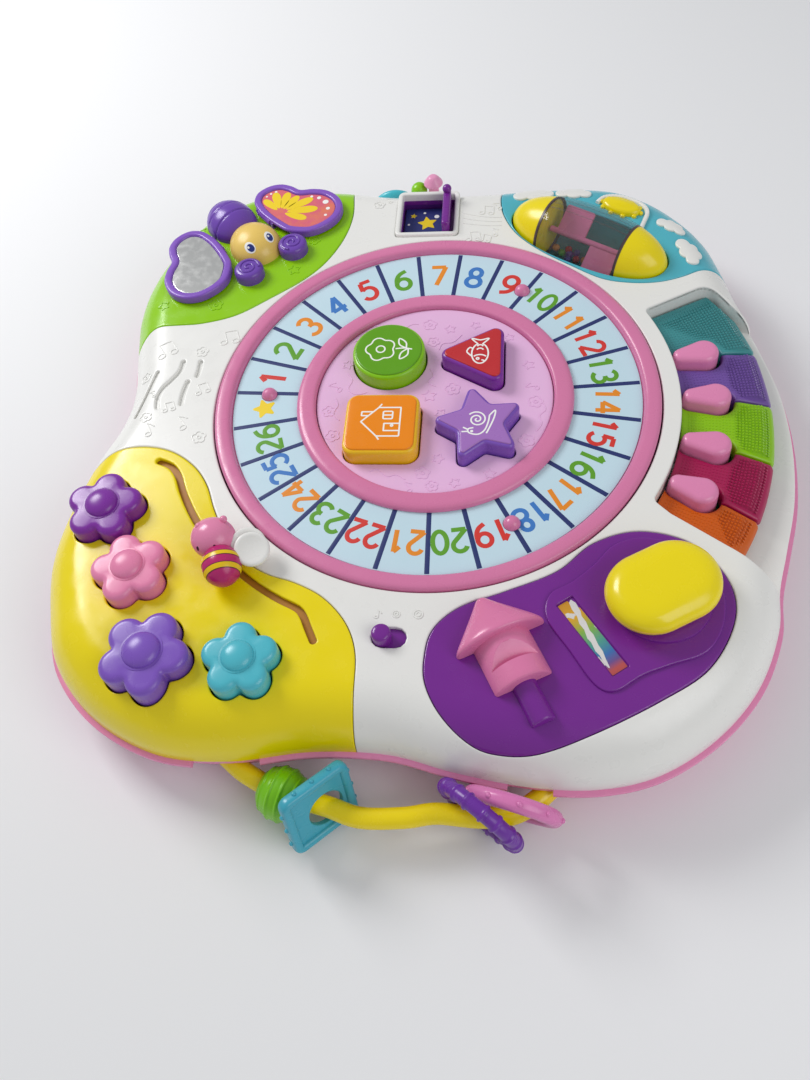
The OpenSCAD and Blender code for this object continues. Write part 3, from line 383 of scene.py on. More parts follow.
yellow_edge = np.concatenate([curve_through([(-209, -50), (-197, -43), (-178, -40), (-160, -43.5),
    (-144, -54), (-133, -68), (-125, -86), (-114, -106), (-101, -120), (-87, -128.5), (-70, -134),
    (-53, -143), (-39, -158), (-32, -176), (-31, -200), (-31.5, -218)], 6), [(-31.5, -262), (-270, -262),
    (-270, -60)]])
green_edge = np.concatenate([curve_through([(-206, 52), (-194, 61), (-178, 62.5), (-160, 64), (-138, 71),
    (-117, 86), (-95, 104), (-81, 122), (-71, 146), (-67.5, 170), (-70, 196)], 6),
    [(-70, 260), (-270, 260), (-270, 52)]])
blue_edge = np.concatenate([curve_through([(182, 109), (172, 106), (158, 99), (142, 94.5), (124, 94.5),
    (106, 99), (86, 112), (66, 127), (50, 144), (41, 163), (38.5, 180), (40, 196)], 6),
    [(40, 250), (240, 250), (240, 112)]])
purple_edge = curve_through([(4.5, -178), (8, -161), (22, -147), (46, -137), (74, -124), (94, -106),
    (119, -98), (146, -105), (163, -126), (165, -150), (150, -178), (124, -197), (92, -214), (64, -223.6),
    (41, -223.4), (26, -217.5), (13.5, -206), (6, -192)], 8, True)
bay_edge = rounded(np.concatenate([arc(149.5, -31, 27.8, 24), [(174, 92), (189, 77), (250, 52), (250, -150),
    (205, -131), (184, -119.5), (167, -107.5), (151, -96), (137, -86)]]), [5] * 24 + [12, 12] + [5] * 7)
window_edge = box_loop(-35.5, 9.1, 143.5, 189.5, 3)
switch_edge = ribbon(np.linspace((-18.4, -166), (-11.2, -166), 6), 6)
slit_lines = [[(-182.9, 21.3), (-186, 8), (-190.7, -13.9)], [(-155, 29.5), (-154.8, 23), (-155.2, 17.3)],
    [(-166.7, 29.7), (-167.5, 21.7), (-171.7, 13.8), (-176.4, 6.6), (-177.9, -1.1), (-176.5, -8.7)],
    [(-160.4, 12.5), (-161.6, 3), (-161.4, -5.9)]]
slits = [ribbon(curve_through(points, 6), 1.35) for points in slit_lines]


def wound(loop):
    """The loop, turned to run counter-clockwise: its signed area is the sum of cross products."""
    x, y = loop.T
    return loop if (x * np.roll(y, -1) - y * np.roll(x, -1)).sum() > 0 else loop[::-1]


yellow_edge, green_edge, blue_edge, purple_edge, bay_edge = map(
    wound, (yellow_edge, green_edge, blue_edge, purple_edge, bay_edge))
seam_loop = inset(case_loop, rim)
dome_rings = [inset(case_loop, d) for d in (3.15, 3.7, 4.8, 6.5, 9, 12, 15.5, 19.5, 24, 28.5, 33, 37)]
grille = plate([box_loop(-194, -150, -18, 34, 4)], [], lambda q: dome(q) - 1.9, lambda q: dome(q) - 3.4, 0.1,
               dome_rings)
openings = [ring_of(138.9, 192), *(inset(e, -0.2) for e in (yellow_edge, green_edge, blue_edge, purple_edge)),
            bay_edge, window_edge, switch_edge, *map(wound, slits)]
shell = plate([seam_loop], openings, dome, inner_dome, 0.9, dome_rings, openings)
add_piece("white_top_shell", [shell, grille], white, "table", ["top_shell"])

# ---------- Coloured panels ----------
# Four glossy panels moulded in colour and let flush into the dome: yellow under the flower buttons, green
# under the butterfly, turquoise round the roller and purple under the slider and knob.
panel_colours = {"yellow": "F0DA00", "green": "8FCB00", "blue": "4FB3C4", "purple": "75238F"}
panels = {name: moulded("panel_" + name, code, rough=0.22) for name, code in panel_colours.items()}
bee_path = curve_through(np.concatenate([[(-166, -51), (-158, -54.5)], arc(164, 202, 246, 12),
                                         [(-62.6, -154.6), (-60, -160), (-55.5, -169)]]), 3, False)
bee_slot = wound(ribbon(bee_path, 2.1))


def flower_loop(x, y, r, turn, grow=0.0, n=180):
    """Five round petals about a middle: along each direction the smooth largest of the far crossings of the
    petals' circles and the middle's circle."""
    a = np.linspace(0, 2 * np.pi, n, endpoint=False)[:, None]
    petal = np.radians(turn + 72 * np.arange(5))
    off = a - petal
    reach, size = 0.59 * r, 0.41 * r + grow
    across = np.clip(size ** 2 - (reach * np.sin(off)) ** 2, 0, None)
    far = np.where((across > 0) & (np.cos(off) > 0), reach * np.cos(off) + np.sqrt(across), 0)
    far = np.concatenate([far, np.full((n, 1), 0.55 * r + grow)], 1)
    k = 1.1
    length = np.log(np.exp(far / k).sum(1)) * k
    a = a[:, 0]
    return np.stack([x + length * np.cos(a), y + length * np.sin(a)], 1)


flowers = {"plum": (-189.5, -89, 23, 88), "pink": (-164.5, -130, 22, 112), "violet": (-144.4, -182, 25, -5),
           "teal": (-92, -183.6, 21, 95)}
roller_at, roller_turn, roller_r, roller_half = np.array([98.4, 136.2, 61.6]), np.radians(-31.5), 23.5, 58


def roller_radius(s):
    """Radius of the roller at distance s from its middle: 23.5 times the root of 1 - (s / 58) ^ 2.5."""
    return roller_r * np.sqrt(np.clip(1 - (np.abs(s) / roller_half) ** 2.5, 0, None))


def on_roller(s, across, up):
    """Point s along the roller's axis, across it and up from it, in the part's frame."""
    c, d = np.cos(roller_turn), np.sin(roller_turn)
    x, y, z = roller_at
    return np.stack([x + s * c - across * d, y + s * d + across * c, z + up], -1)


s = roller_half * np.sin(np.linspace(-np.pi / 2, np.pi / 2, 60))
trough_in, trough_out = 1.6, 3.4
well_half = roller_radius(s) + trough_in
well_line = np.concatenate([np.stack([s, -well_half], 1), np.stack([s, well_half], 1)[::-1]])
well_edge = wound(on_roller(well_line[:, 0], well_line[:, 1], 0 * well_line[:, 0])[:, :2])
a, s2 = np.meshgrid(np.radians(np.linspace(180, 360, 33)), s, indexing="ij")
bowl = [on_roller(s2 * (1 + g / roller_half), (roller_radius(s2) + g) * np.cos(a),
                  (roller_radius(s2) + g) * np.sin(a)) for g in (trough_in, trough_out)]
trough = [skin(np.concatenate([bowl[0], bowl[1][::-1]]), "joined", wrap=False)]
cuts = {"yellow": [bee_slot, *(flower_loop(*f, 1) for f in flowers.values())], "green": [],
        "blue": [well_edge], "purple": []}
for name, edge in (("yellow", yellow_edge), ("green", green_edge), ("blue", blue_edge),
                   ("purple", purple_edge)):
    seam = inset(edge, 0.2)
    sheet = plate([seam_loop, seam], cuts[name], dome, inner_dome, 0.8, dome_rings, [seam] + cuts[name])
    add_piece(name + "_panel_moulding", [sheet] + (trough if name == "blue" else []), panels[name], "table",
              [name + "_panel"])

# ---------- Dial ----------
# A pink ring that turns about a fixed inner ring, whose lip holds it down. It carries a printed label with 26
# numbers and a star between navy lines, and three small balls to push it round by.
dial_pink = moulded("dial_pink", "D77BA6")
dial_profile = [(85.1, 54.7), (85.1, 61.4), (127.4, 61.4), (127.7, 63.2), (128.4, 64.8), (129.6, 65.7),
    (131, 66), (135, 66), (136.6, 65.7), (137.6, 64.9), (138, 63.6), (138, 54.7), (135.5, 54.7), (135.5, 59),
    (107.5, 59), (107.5, 54.7), (104.5, 54.7), (104.5, 59), (87.6, 59), (87.6, 54.7)]
guide_profile = [(74.05, 54.7), (74.05, 64.2), (74.4, 65.2), (75.3, 65.85), (76.6, 66), (81.6, 66),
    (83.4, 65.75), (84.9, 65.1), (85.8, 64.1), (86.15, 62.9), (86.15, 62.35), (84.8, 62.3), (84.8, 54.7),
    (82.4, 54.7), (82.4, 59), (76.5, 59), (76.5, 54.7)]
add_piece("dial_guide_ring", [turned(guide_profile, n=192)], dial_pink, "table", ["centre_ring"])


def ellipse(x, y, rx, ry, a, b, n=18):
    """Points of an ellipse about (x, y) from angle a to b in degrees."""
    t = np.radians(np.linspace(a, b, n))
    return np.stack([x + rx * np.cos(t), y + ry * np.sin(t)], 1)


def polar(r, angle):
    """The point at distance r from the origin in the direction of an angle in degrees."""
    return arc(r, angle, angle, 1)[0]


grip_at = [polar(105, angle) for angle in (178.7, 59.1, -62)]
grip_line = np.concatenate([[(0, 61)], ellipse(0, 61.5, 5, 5, 0, 90, 12)])
grips = [turned(grip_line, place, 32, "open") for place in grip_at]
add_piece("dial_ring_turned", [turned(dial_profile, n=256), *grips], dial_pink, "dial",
          ["dial_ring"])


def paper_label(name, code, stain, start=0.66, full=0.8):
    """Printed paper under a matt film: pale ink that drifts in tone, a paper grain, and rubbed patches in the
    stain's colour, which set in where a noise passes start and are strongest where it reaches full."""
    material = moulded(name, code, rough=0.42, peel=0.05, tint=0.04, grain=2500)
    nodes, link = material.node_tree.nodes, material.node_tree.links.new
    rub = new_node(nodes, "TexNoise", Scale=26, Detail=9, Roughness=0.75)
    ramp = new_node(nodes, "MapRange", From_Min=start, From_Max=full, To_Max=0.55)
    worn = colour_mix(nodes, linear(stain))
    link(nodes["Texture Coordinate"].outputs["Object"], rub.inputs["Vector"])
    link(rub.outputs["Fac"], ramp.inputs["Value"])
    link(ramp.outputs["Result"], worn.inputs[0])
    link(nodes["Mix"].outputs[2], worn.inputs[6])
    link(worn.outputs[2], nodes["Principled BSDF"].inputs["Base Color"])
    return material


label_z = 62
label = paper_label("label_blue", "C3DDE8", "A99C82")
label_holes = [ring_of(85.6, 128), *(ring_of(5.2, 32, place) for place in grip_at)]
label_sheet = plate([ring_of(126.9, 192)], label_holes, label_z, 61.45, 0.1)
add_piece("dial_label_print", [label_sheet], label, "dial", ["dial_label"])


def ridge(path, half, z, high, flat=0.4, closed=False, n=7):
    """Low ridge along a path on the level z, one number or one for each point: across it, the height is high,
    falling at both sides by a quarter ellipse; its open ends are closed flat."""
    t = np.roll(path, -1, 0) - np.roll(path, 1, 0) if closed else np.gradient(path, axis=0)
    side = np.stack([t[:, 1], -t[:, 0]], 1) / np.maximum(np.linalg.norm(t, axis=1), 1e-9)[:, None]
    a = np.linspace(0, np.pi, n)
    w = half * np.sign(np.cos(a)) * (flat + (1 - flat) * np.abs(np.cos(a))) * (np.abs(np.cos(a)) > 1e-6)
    h = np.where(np.sin(a) > 1e-6, high * np.sin(a) ** 0.5, -0.15)
    z = np.broadcast_to(np.reshape(z, (-1, 1, 1)) + h[None, :, None], (len(path), n, 1))
    rows = np.concatenate([path[:, None] + w[None, :, None] * side[:, None], z], 2)
    return skin(rows, "joined" if closed else "capped")


def line(*points):
    """Straight strokes through the points, with a few more points in each so that the corners stay narrow."""
    p = np.array(points, float)
    t = np.linspace(0, 1, 6)[:, None]
    return np.concatenate([p[k] + t * (p[k + 1] - p[k]) for k in range(len(p) - 1)])


six = np.concatenate([curve_through([(0.2, 0.99), (-0.06, 0.86), (-0.22, 0.62), (-0.27, 0.3)], 5),
                      ellipse(0, 0.29, 0.27, 0.29, 182, 535, 24)])
digits = {
    "0": [ellipse(0, 0.5, 0.28, 0.5, 0, 360, 30)],
    "1": [line((-0.16, 0.76), (0.05, 1)), line((0.05, 1), (0.05, 0))],
    "2": [np.concatenate([ellipse(0, 0.72, 0.27, 0.28, 165, -30, 16), [(-0.27, 0)]]),
          line((-0.27, 0), (0.29, 0))],
    "3": [ellipse(-0.02, 0.75, 0.25, 0.25, 150, -90, 16), ellipse(-0.02, 0.26, 0.29, 0.26, 90, -150, 18)],
    "4": [line((0.13, 0), (0.13, 1)), line((0.13, 1), (-0.3, 0.3)), line((-0.3, 0.3), (0.3, 0.3))],
    "5": [line((0.24, 1), (-0.18, 1)), line((-0.18, 1), (-0.22, 0.55)),
          ellipse(-0.02, 0.33, 0.29, 0.33, 135, -150, 20)],
    "6": [six], "7": [line((-0.28, 1), (0.28, 1)), line((0.28, 1), (-0.08, 0))],
    "8": [ellipse(0, 0.76, 0.22, 0.24, 0, 360, 24), ellipse(0, 0.26, 0.28, 0.26, 0, 360, 28)],
    "9": [-six + (0, 1)],
}
sectors, first_line = 27, 178
sector = 360 / sectors
inks = {"red": "D4342C", "green": "5C9E22", "orange": "E68A1E", "blue": "3A78C2"}
ink_order = ("red green orange blue red green orange blue red green orange red green orange red green "
             "orange blue red green orange red green orange blue green").split()
print_parts = {name: [] for name in inks}
for k, name in enumerate(ink_order):
    out = polar(1, first_line - (k + 0.5) * sector)
    along = np.array([out[1], -out[0]])
    text = str(k + 1)
    size = 17 if len(text) == 1 else 14.5
    for m, digit in enumerate(text):
        shift = (m - (len(text) - 1) / 2) * 0.78
        for stroke in digits[digit]:
            flat = 106 * out + size * ((stroke[:, :1] + shift) * along + (stroke[:, 1:] - 0.5) * out)
            print_parts[name].append(ridge(flat, 1.45 if len(text) > 1 else 1.65, label_z, 0.06, 0.8))
for name, parts in print_parts.items():
    ink_material = moulded("ink_" + name, inks[name], rough=0.4, peel=0.01)
    add_piece("dial_numbers_" + name, parts, ink_material, "dial")
navy = moulded("ink_navy", "22306B", rough=0.4, peel=0.01)
dividers = []
for k in range(sectors):
    a = first_line - k * sector
    dividers.append(ridge(np.linspace(polar(86, a), polar(126.3, a), 5), 1.45, label_z, 0.05, 0.9))
add_piece("dial_lines", dividers, navy, "dial")


def star_loop(x, y, r, turn, waist=0.45, tip=0.1, n=4):
    """Five-pointed star whose ten corners are rounded by arcs of radius tip times r."""
    a = np.radians(turn + 36 * np.arange(10))
    reach = np.where(np.arange(10) % 2 == 0, r, waist * r)
    return rounded(np.stack([x + reach * np.cos(a), y + reach * np.sin(a)], 1), tip * r, n)


def filled(rows, middle, low, top, crown, n=6):
    """Solid from rows of points: a flat base at the height low, and over the last row n rings scaled by s
    towards the middle, whose height is top plus crown times 1 - s^2."""
    s = np.linspace(1, 0, n + 1)[1:, None, None]
    inner = np.concatenate([middle + s * (rows[-1, :, :2] - middle)[None],
                            np.broadcast_to(top + crown * (1 - s ** 2), (n, rows.shape[1], 1))], 2)
    base = np.concatenate([np.tile(middle, (1, rows.shape[1], 1)), np.full((1, rows.shape[1], 1), low)], 2)
    return skin(np.concatenate([base, rows, inner]), "open")


def pillow(loop, low, top, edge, crown=0.0, rings=6, centre=None, taper=0.0):
    """Solid over a loop: sides that lean in by taper, a quarter-ellipse edge, and a top that rises by crown
    towards the centre."""
    e_in, e_down = (edge, edge) if np.isscalar(edge) else edge
    a = np.linspace(0, np.pi / 2, rings)
    wall = [(0, low), (0.5 * taper, 0.5 * (low + top - e_down))]
    bend = np.stack([taper + e_in * (1 - np.cos(a)), top - e_down + e_down * np.sin(a)], 1)
    rows = carry(loop, np.concatenate([wall, bend]))
    middle = rows[-1, :, :2].mean(0) if centre is None else np.asarray(centre)
    return filled(rows, middle, low, top, crown)


star_at = polar(107, 184.7)
star_ink = moulded("ink_yellow", "F2D21A", rough=0.4, peel=0.01)
add_piece("dial_star", [pillow(star_loop(*star_at, 9, 184.7), label_z - 0.1, label_z + 0.08, 0.05)], star_ink,
          "dial")

# ---------- Centre disc ----------
# The fixed pink disc inside the dial, with four shaped openings for the buttons. Stars, blossoms and
# squiggles are raised on it in fine lines.
disc_pink = moulded("disc_pink", "E8B9E0", rough=0.33)
button_at = [(-29.5, 29), (28.2, 26), (-29.5, -29), (29.5, -28.5)]
turn3 = np.radians([180, 300, 60])
button_loops = {
    "circle": ring_of(23, 96, button_at[0]),
    "triangle": rounded(np.stack([28.2 + 29.5 * np.cos(turn3), 26 + 29.5 * np.sin(turn3)], 1), 5.5, 14),
    "square": box_loop(-52, -7, -51.5, -6.5, 7.5),
    "star": star_loop(*button_at[3], 30.8, 30.6, 0.505, 0.11, 8),
}
openings = [inset(loop, -0.8) for loop in button_loops.values()]
disc_z = 63.0
disc = plate([ring_of(73.6, 160)], openings, disc_z, 60.0, 0.7)
add_piece("pink_centre_disc", [disc], disc_pink, "table", ["centre_disc"])


def flat_turn(points, turn, at=(0, 0), size=1.0):
    """Points scaled by size, turned by turn in degrees and moved to at."""
    c, d = np.cos(np.radians(turn)), np.sin(np.radians(turn))
    return np.asarray(at) + size * np.asarray(points, float) @ np.array([[c, d], [-d, c]])


motif_lines = {
    "star": [(star_loop(0, 0, 0.5, 90, 0.5, 0.07), True)],
    "blossom": [(flower_loop(0, 0, 20, 90, 0, 45) / 40, True), (ring_of(0.13, 14), True)],
    "note": [(ellipse(-0.2, -0.34, 0.2, 0.15, 0, 338, 16), True),
             (curve_through([(0.0, -0.34), (0.01, 0.1), (0.0, 0.5), (0.2, 0.34), (0.36, 0.08)], 4), False)],
    "pair": [(ellipse(-0.36, -0.3, 0.17, 0.13, 0, 338, 14), True),
             (ellipse(0.22, -0.38, 0.17, 0.13, 0, 338, 14), True),
             (line((-0.19, -0.3), (-0.19, 0.36), (0.39, 0.28), (0.39, -0.38)), False)],
    "ring": [(ring_of(0.5, 24), True), (ring_of(0.24, 16), True)],
}


def relief(motifs, height, half=0.42, high=0.36):
    """Raised outlines of motifs, given for each kind as a place, a size and a turn, on a level that is a
    number or a function of the points."""
    parts = []
    for kind, x, y, size, turn in [(kind, *motif) for kind, row in motifs.items() for motif in row]:
        for path, closed in motif_lines[kind]:
            flat = flat_turn(path, turn, (x, y), size)
            z = height(flat) if callable(height) else height
            parts.append(ridge(flat, half, z, high, 0.5, closed, 5))
    return parts


disc_motifs = {"star": [(7.6, 56, 8, 10), (24, 59, 7, 30), (-57, 26, 8, 60), (-3, 0, 10, 5), (5, -14, 8, 40),
    (58.5, 24.6, 8, 20), (5, -48, 8, 50), (36, -59, 8, 0), (15.7, -65.5, 7.5, 30), (46, 48, 7, 15)],
    "blossom": [(-5.8, 60, 9, 0), (-2.7, 45, 8, 40), (11.5, 5.4, 9.5, 10), (62.6, -5, 9, 60),
    (57.4, -34.7, 9.5, 20), (-65, -12, 8.5, 80), (-60.5, -31, 9, 30), (-3.6, -58.6, 9, 70),
    (2.5, -67.8, 7.5, 15), (-40, 56, 8, 25)], "note": [(-62.8, 7.7, 9, 80), (60.6, 7, 8, 100),
    (-11, -68.6, 7.5, 40), (-51, 44, 8, 60)]}
squiggles = [[(-56.1, 18.7), (-52.6, 13.1), (-54.5, 5.8), (-49, 1.4), (-42.4, 3)],
    [(-61.8, -1.4), (-59.7, -7.6), (-62.4, -13.8), (-57.5, -19.1)], [(-22.3, 56.4), (-18.2, 60.3),
    (-13.4, 60.6)], [(66.3, -4.2), (68.6, -11.1), (64.8, -16.2), (66.2, -22), (62.9, -28)],
    [(-35.4, -57.7), (-30.3, -56), (-24.5, -61.2), (-19.1, -60), (-13.6, -63.4)],
    [(1.3, 38), (3.4, 43.3), (10.2, 44.6), (15.4, 50.8)], [(-3.5, 22), (-1, 16), (-4, 11), (0.5, 7.5)]]
on_disc = relief(disc_motifs, disc_z, 0.36, 0.3)
on_disc += [ridge(curve_through(s, 5), 0.36, disc_z, 0.3, 0.5, False, 5) for s in squiggles]
add_piece("disc_raised_pattern", on_disc, disc_pink, "table")

# ---------- Shape buttons ----------
# Four push buttons, each a glossy moulded body in one colour with an inlaid face in another. A white line
# drawing is printed on every face.
button_codes = {"circle": ("86C80A", "5FA00A", "button_green", "face_green"),
                "triangle": ("7A2A9A", "C22B30", "button_purple", "face_red"),
                "square": ("F5C21A", "F28A00", "button_yellow", "face_orange"),
                "star": ("7C52B8", "A472BE", "button_violet", "face_lilac")}
face_z = 74.0
for place, (name, loop) in zip(button_at, button_loops.items()):
    side_code, face_code, side_slot, face_slot = button_codes[name]
    body = "button_" + name
    side = moulded(side_slot, side_code)
    face = moulded(face_slot, face_code)
    add_piece(name + "_button_body", [pillow(loop, 57, 73.2, 2.2, centre=place)], side, body,
              [body])
    add_piece(name + "_button_face", [pillow(inset(loop, 1.9), 72.6, face_z, 0.8, centre=place)], face, body,
              [body + "_face"])

print_white = moulded("ink_white", "F4F4F0", rough=0.4, peel=0.01)
spiral_turn = np.linspace(0.6, 4.4 * np.pi, 70)
snail_shell = np.stack([0.5 + 0.46 * spiral_turn * np.cos(spiral_turn),
                        2 + 0.46 * spiral_turn * np.sin(spiral_turn)], 1)
button_drawings = {
    "circle": (1.25, [(flower_loop(0, 4, 7.6, 90, 0, 70), True), (ring_of(2.2, 20, (0, 4)), True),
                      (curve_through([(0.2, -3.6), (0.6, -8), (-0.2, -12)], 4), False),
                      (curve_through([(0.5, -9), (3, -5.4), (7, -5.2), (4.4, -8.6), (0.5, -9)], 5), False),
                      (curve_through([(0.4, -10), (-2.6, -6.6), (-6.6, -6.2), (-4, -9.8), (0.4, -10)], 5),
                       False)]),
    "triangle": (0.95, [(ellipse(-1.5, 0, 8.6, 5.4, 14, 346, 40), False), (ring_of(0.8, 12, (-6, 1.4)), True),
                        (curve_through([(6.6, 1.4), (11.5, 5.6), (10.2, 0), (11.5, -5.6), (6.6, -1.4)], 6),
                         False),
                        (ellipse(-6.6, 0, 4, 5, -52, 52, 14), False),
                        (ellipse(-9, -1.6, 1.7, 1.4, -80, 20, 8), False),
                        (ellipse(1, 0, 2, 2.2, -70, 70, 9), False), (ellipse(4, 0, 2, 2, -70, 70, 9), False),
                        (curve_through([(-4, 5.2), (0, 8.6), (3.6, 6.8), (2.6, 4.6)], 5), False)]),
    "square": (1.35, [(line((-8, -8.5), (-8, 1.5), (0, 9), (8, 1.5), (8, -8.5), (-8, -8.5)), False),
                      (line((-10, 0.2), (-8, 1.5)), False), (line((10, 0.2), (8, 1.5)), False),
                      (line((-5, -8.5), (-5, -1.5), (-1, -1.5), (-1, -8.5)), False),
                      (ring_of(0.5, 8, (-2.1, -5)), True),
                      (box_loop(1.6, 5.8, -5, -0.8, 0.6), True), (line((3.7, -5), (3.7, -0.8)), False),
                      (line((3.4, 6), (3.4, 9), (5.6, 9), (5.6, 4)), False)]),
    "star": (0.92, [(snail_shell, False),
                    (curve_through([(6.4, -4.4), (1, -5.6), (-6, -5.8), (-10.6, -3), (-11.4, 2.6),
                                    (-8.8, 4.4), (-6.6, 1.6)],
                                   6, False), False),
                    (curve_through([(6.4, -4.4), (11.4, -6.4), (6, -7.8), (-2, -8), (-8, -7.8)], 6), False),
                    (line((-10.6, 3.8), (-12.2, 7.6)), False), (line((-9.2, 4.2), (-8.6, 8)), False),
                    (ring_of(0.5, 8, (-9.6, 1.6)), True)]),
}
for place, (name, (size, strokes)) in zip(button_at, button_drawings.items()):
    turn = 90 if name != "star" else 70
    parts = [ridge(flat_turn(path, turn, place, size), 0.5, face_z, 0.07, 0.85, closed, 5)
             for path, closed in strokes]
    add_piece(name + "_button_drawing", parts, print_white, "button_" + name)

# ---------- Flower buttons ----------
# Four rubbery-smooth five-petalled push buttons on the yellow panel, each with a domed middle in a shallow
# ring groove.
flower_codes = {"plum": "7E2C9E", "pink": "E887AE", "violet": "7E55BC", "teal": "4FB9C9"}
for name, flower in flowers.items():
    x, y, r, turn = flower
    petals = pillow(flower_loop(*flower), 47.2, 74.4, (4.2, 3.6), 0.4, 9, (x, y))
    boss = np.concatenate([[(0, 73), (0.47 * r, 73), (0.47 * r, 74.9)],
                           ellipse(0, 75, 0.42 * r, 0.2 * r, 0, 90, 12)])
    middle = turned(boss, (x, y), 48, "open")
    add_piece("flower_button_" + name, [petals, middle], moulded("flower_" + name, flower_codes[name]),
              "flower_" + name, ["flower_" + name])

# ---------- Keyboard ----------
# Five wide keys and four raised pink ones, hinged at their inner ends in a white bay that is open to the
# side. The wide keys have a fine dotted grip and outer ends that slope down.
key_in, key_out, key_z, key_low = 150.6, 206, 55, 44.4
sharp_angles = (12.3, 0.4, -11.9, -23.6)
key_sides = ((12.3, 27.4), (0.4, 12.3), (-11.9, 0.4), (-23.6, -11.9), (-36, -23.6))
key_codes = {"teal": "3E8F92", "purple": "6F4E9E", "lime": "8CC400", "magenta": "A5124F", "orange": "CE5B00"}
key_bounds = wound(np.concatenate([arc(key_in, -30.4, 27.2, 24), [(173, 90.2), (188, 75.5), (240, 54),
    (240, -146), (204, -128.5), (183.5, -117.5), (166.5, -105.5), (150.5, -94), (137, -84)]]))
bay_floor = plate([seam_loop, inset(bay_edge, -1)], [], lambda q: np.minimum(dome(q), bay_z),
                  shell_low, 0.8, dome_rings[:6], [])
ring = np.concatenate([bay_edge, bay_edge[:1]])
run = np.concatenate([[0], np.cumsum(np.linalg.norm(np.diff(ring, axis=0), axis=1))])
fine = np.stack([np.interp(np.arange(0, run[-1], 0.8), run, ring[:, k]) for k in (0, 1)], 1)
wall_line = fine[in_loop(fine, inset(case_loop, 3.6))]
first = np.argmax(np.linalg.norm(np.roll(wall_line, 1, 0) - wall_line, axis=1))
wall_line = np.roll(wall_line, -first, 0)
high = dome(wall_line) - 1.0
side = np.gradient(wall_line, axis=0)
side = np.stack([side[:, 1], -side[:, 0]], 1) / np.linalg.norm(side, axis=1)[:, None]
low = np.full(len(high), bay_z - 1.0)
high = np.maximum(high, low + 0.05)
wall_rows = np.stack([np.column_stack([wall_line + o * side, z])
                      for o, z in ((0, low), (0, high), (1.8, high), (1.8, low))], 1)
add_piece("keyboard_bay", [bay_floor, skin(wall_rows, "capped")], white, "table", ["key_bed"])


def sharp_loop(angle, grow=0.0, reach=0.0):
    """Outline of a raised key: a circle of radius 6.2 near the hinge and one of 9.8 outside, joined by their
    outer tangents, turned to the key's angle."""
    x0, r0, x1, r1 = key_in + 6, 6.2 + grow, 170.7 + reach, 9.8 + grow
    lean = np.arcsin((r1 - r0) / (x1 - x0))
    a = np.linspace(-np.pi / 2 - lean, np.pi / 2 + lean, 32)
    b = np.linspace(np.pi / 2 + lean, 3 * np.pi / 2 - lean, 16)
    q = np.concatenate([np.stack([x1 + r1 * np.cos(a), r1 * np.sin(a)], 1),
                        np.stack([x0 + r0 * np.cos(b), r0 * np.sin(b)], 1)])
    return flat_turn(q, angle)


def key_height(middle):
    """Height of a wide key: level to its shoulder, then falling 0.9 for each millimetre outwards."""
    axis = polar(1, middle)
    return lambda q: key_z - 0.9 * np.clip(q @ axis - (key_out - 9), 0, 12)


spot_step = 1.95
for (name, code), (a, b), middle in zip(key_codes.items(), key_sides, (19.6, 6.35, -5.75, -17.75, -28.5)):
    wedge = wound(rounded(np.concatenate([arc(key_in, b - 0.15, a + 0.15, 9),
                                          arc(key_out, a + 0.15, b - 0.15, 9)])[::-1],
                          5, 6))
    notches = [sharp_loop(angle, 0.8, 1.4) for angle in sharp_angles if a - 1 < angle < b + 1]
    level = key_height(middle)
    cap = plate([wedge, key_bounds], notches, level, key_low, 1.6)
    spots = np.concatenate([arc(r, a, b, int(np.radians(b - a) * r / spot_step))
                            for r in np.arange(155, 205, spot_step)])
    clear = in_loop(spots, inset(wedge, 2.4)) & in_loop(spots, key_bounds)
    clear &= distance(spots, key_bounds) > 2.2
    for notch in notches:
        clear &= ~in_loop(spots, notch) & (distance(spots, notch) > 1.7)
    spots = spots[clear]
    corners = np.array([(-1, -1), (1, -1), (1, 1), (-1, 1)])
    flat = flat_turn(np.concatenate([0.62 * corners, 0.38 * corners]), middle)
    stud = spots[:, None] + flat[None]
    z = level(stud.reshape(-1, 2)).reshape(len(spots), 8) + np.repeat((-0.15, 0.26), 4)
    sides = np.array([(0, 1, 5, 4), (1, 2, 6, 5), (2, 3, 7, 6), (3, 0, 4, 7), (4, 5, 6, 7), (3, 2, 1, 0)])
    studs = (np.concatenate([stud, z[..., None]], 2).reshape(-1, 3),
             list((sides[None] + 8 * np.arange(len(spots))[:, None, None]).reshape(-1, 4)))
    add_piece("wide_key_" + name, [cap, studs], moulded("key_" + name, code, rough=0.36), "key_" + name,
              ["key_" + name])
sharp_pink = moulded("key_pink", "E288B4")
for k, angle in enumerate(sharp_angles):
    key = pillow(sharp_loop(angle), key_low, 63, (4.0, 3.9), 0.4, 9, polar(167, angle), 0.8)
    add_piece(f"raised_key_{k + 1}", [key], sharp_pink, f"sharp_{k + 1}", [f"sharp_{k + 1}"])

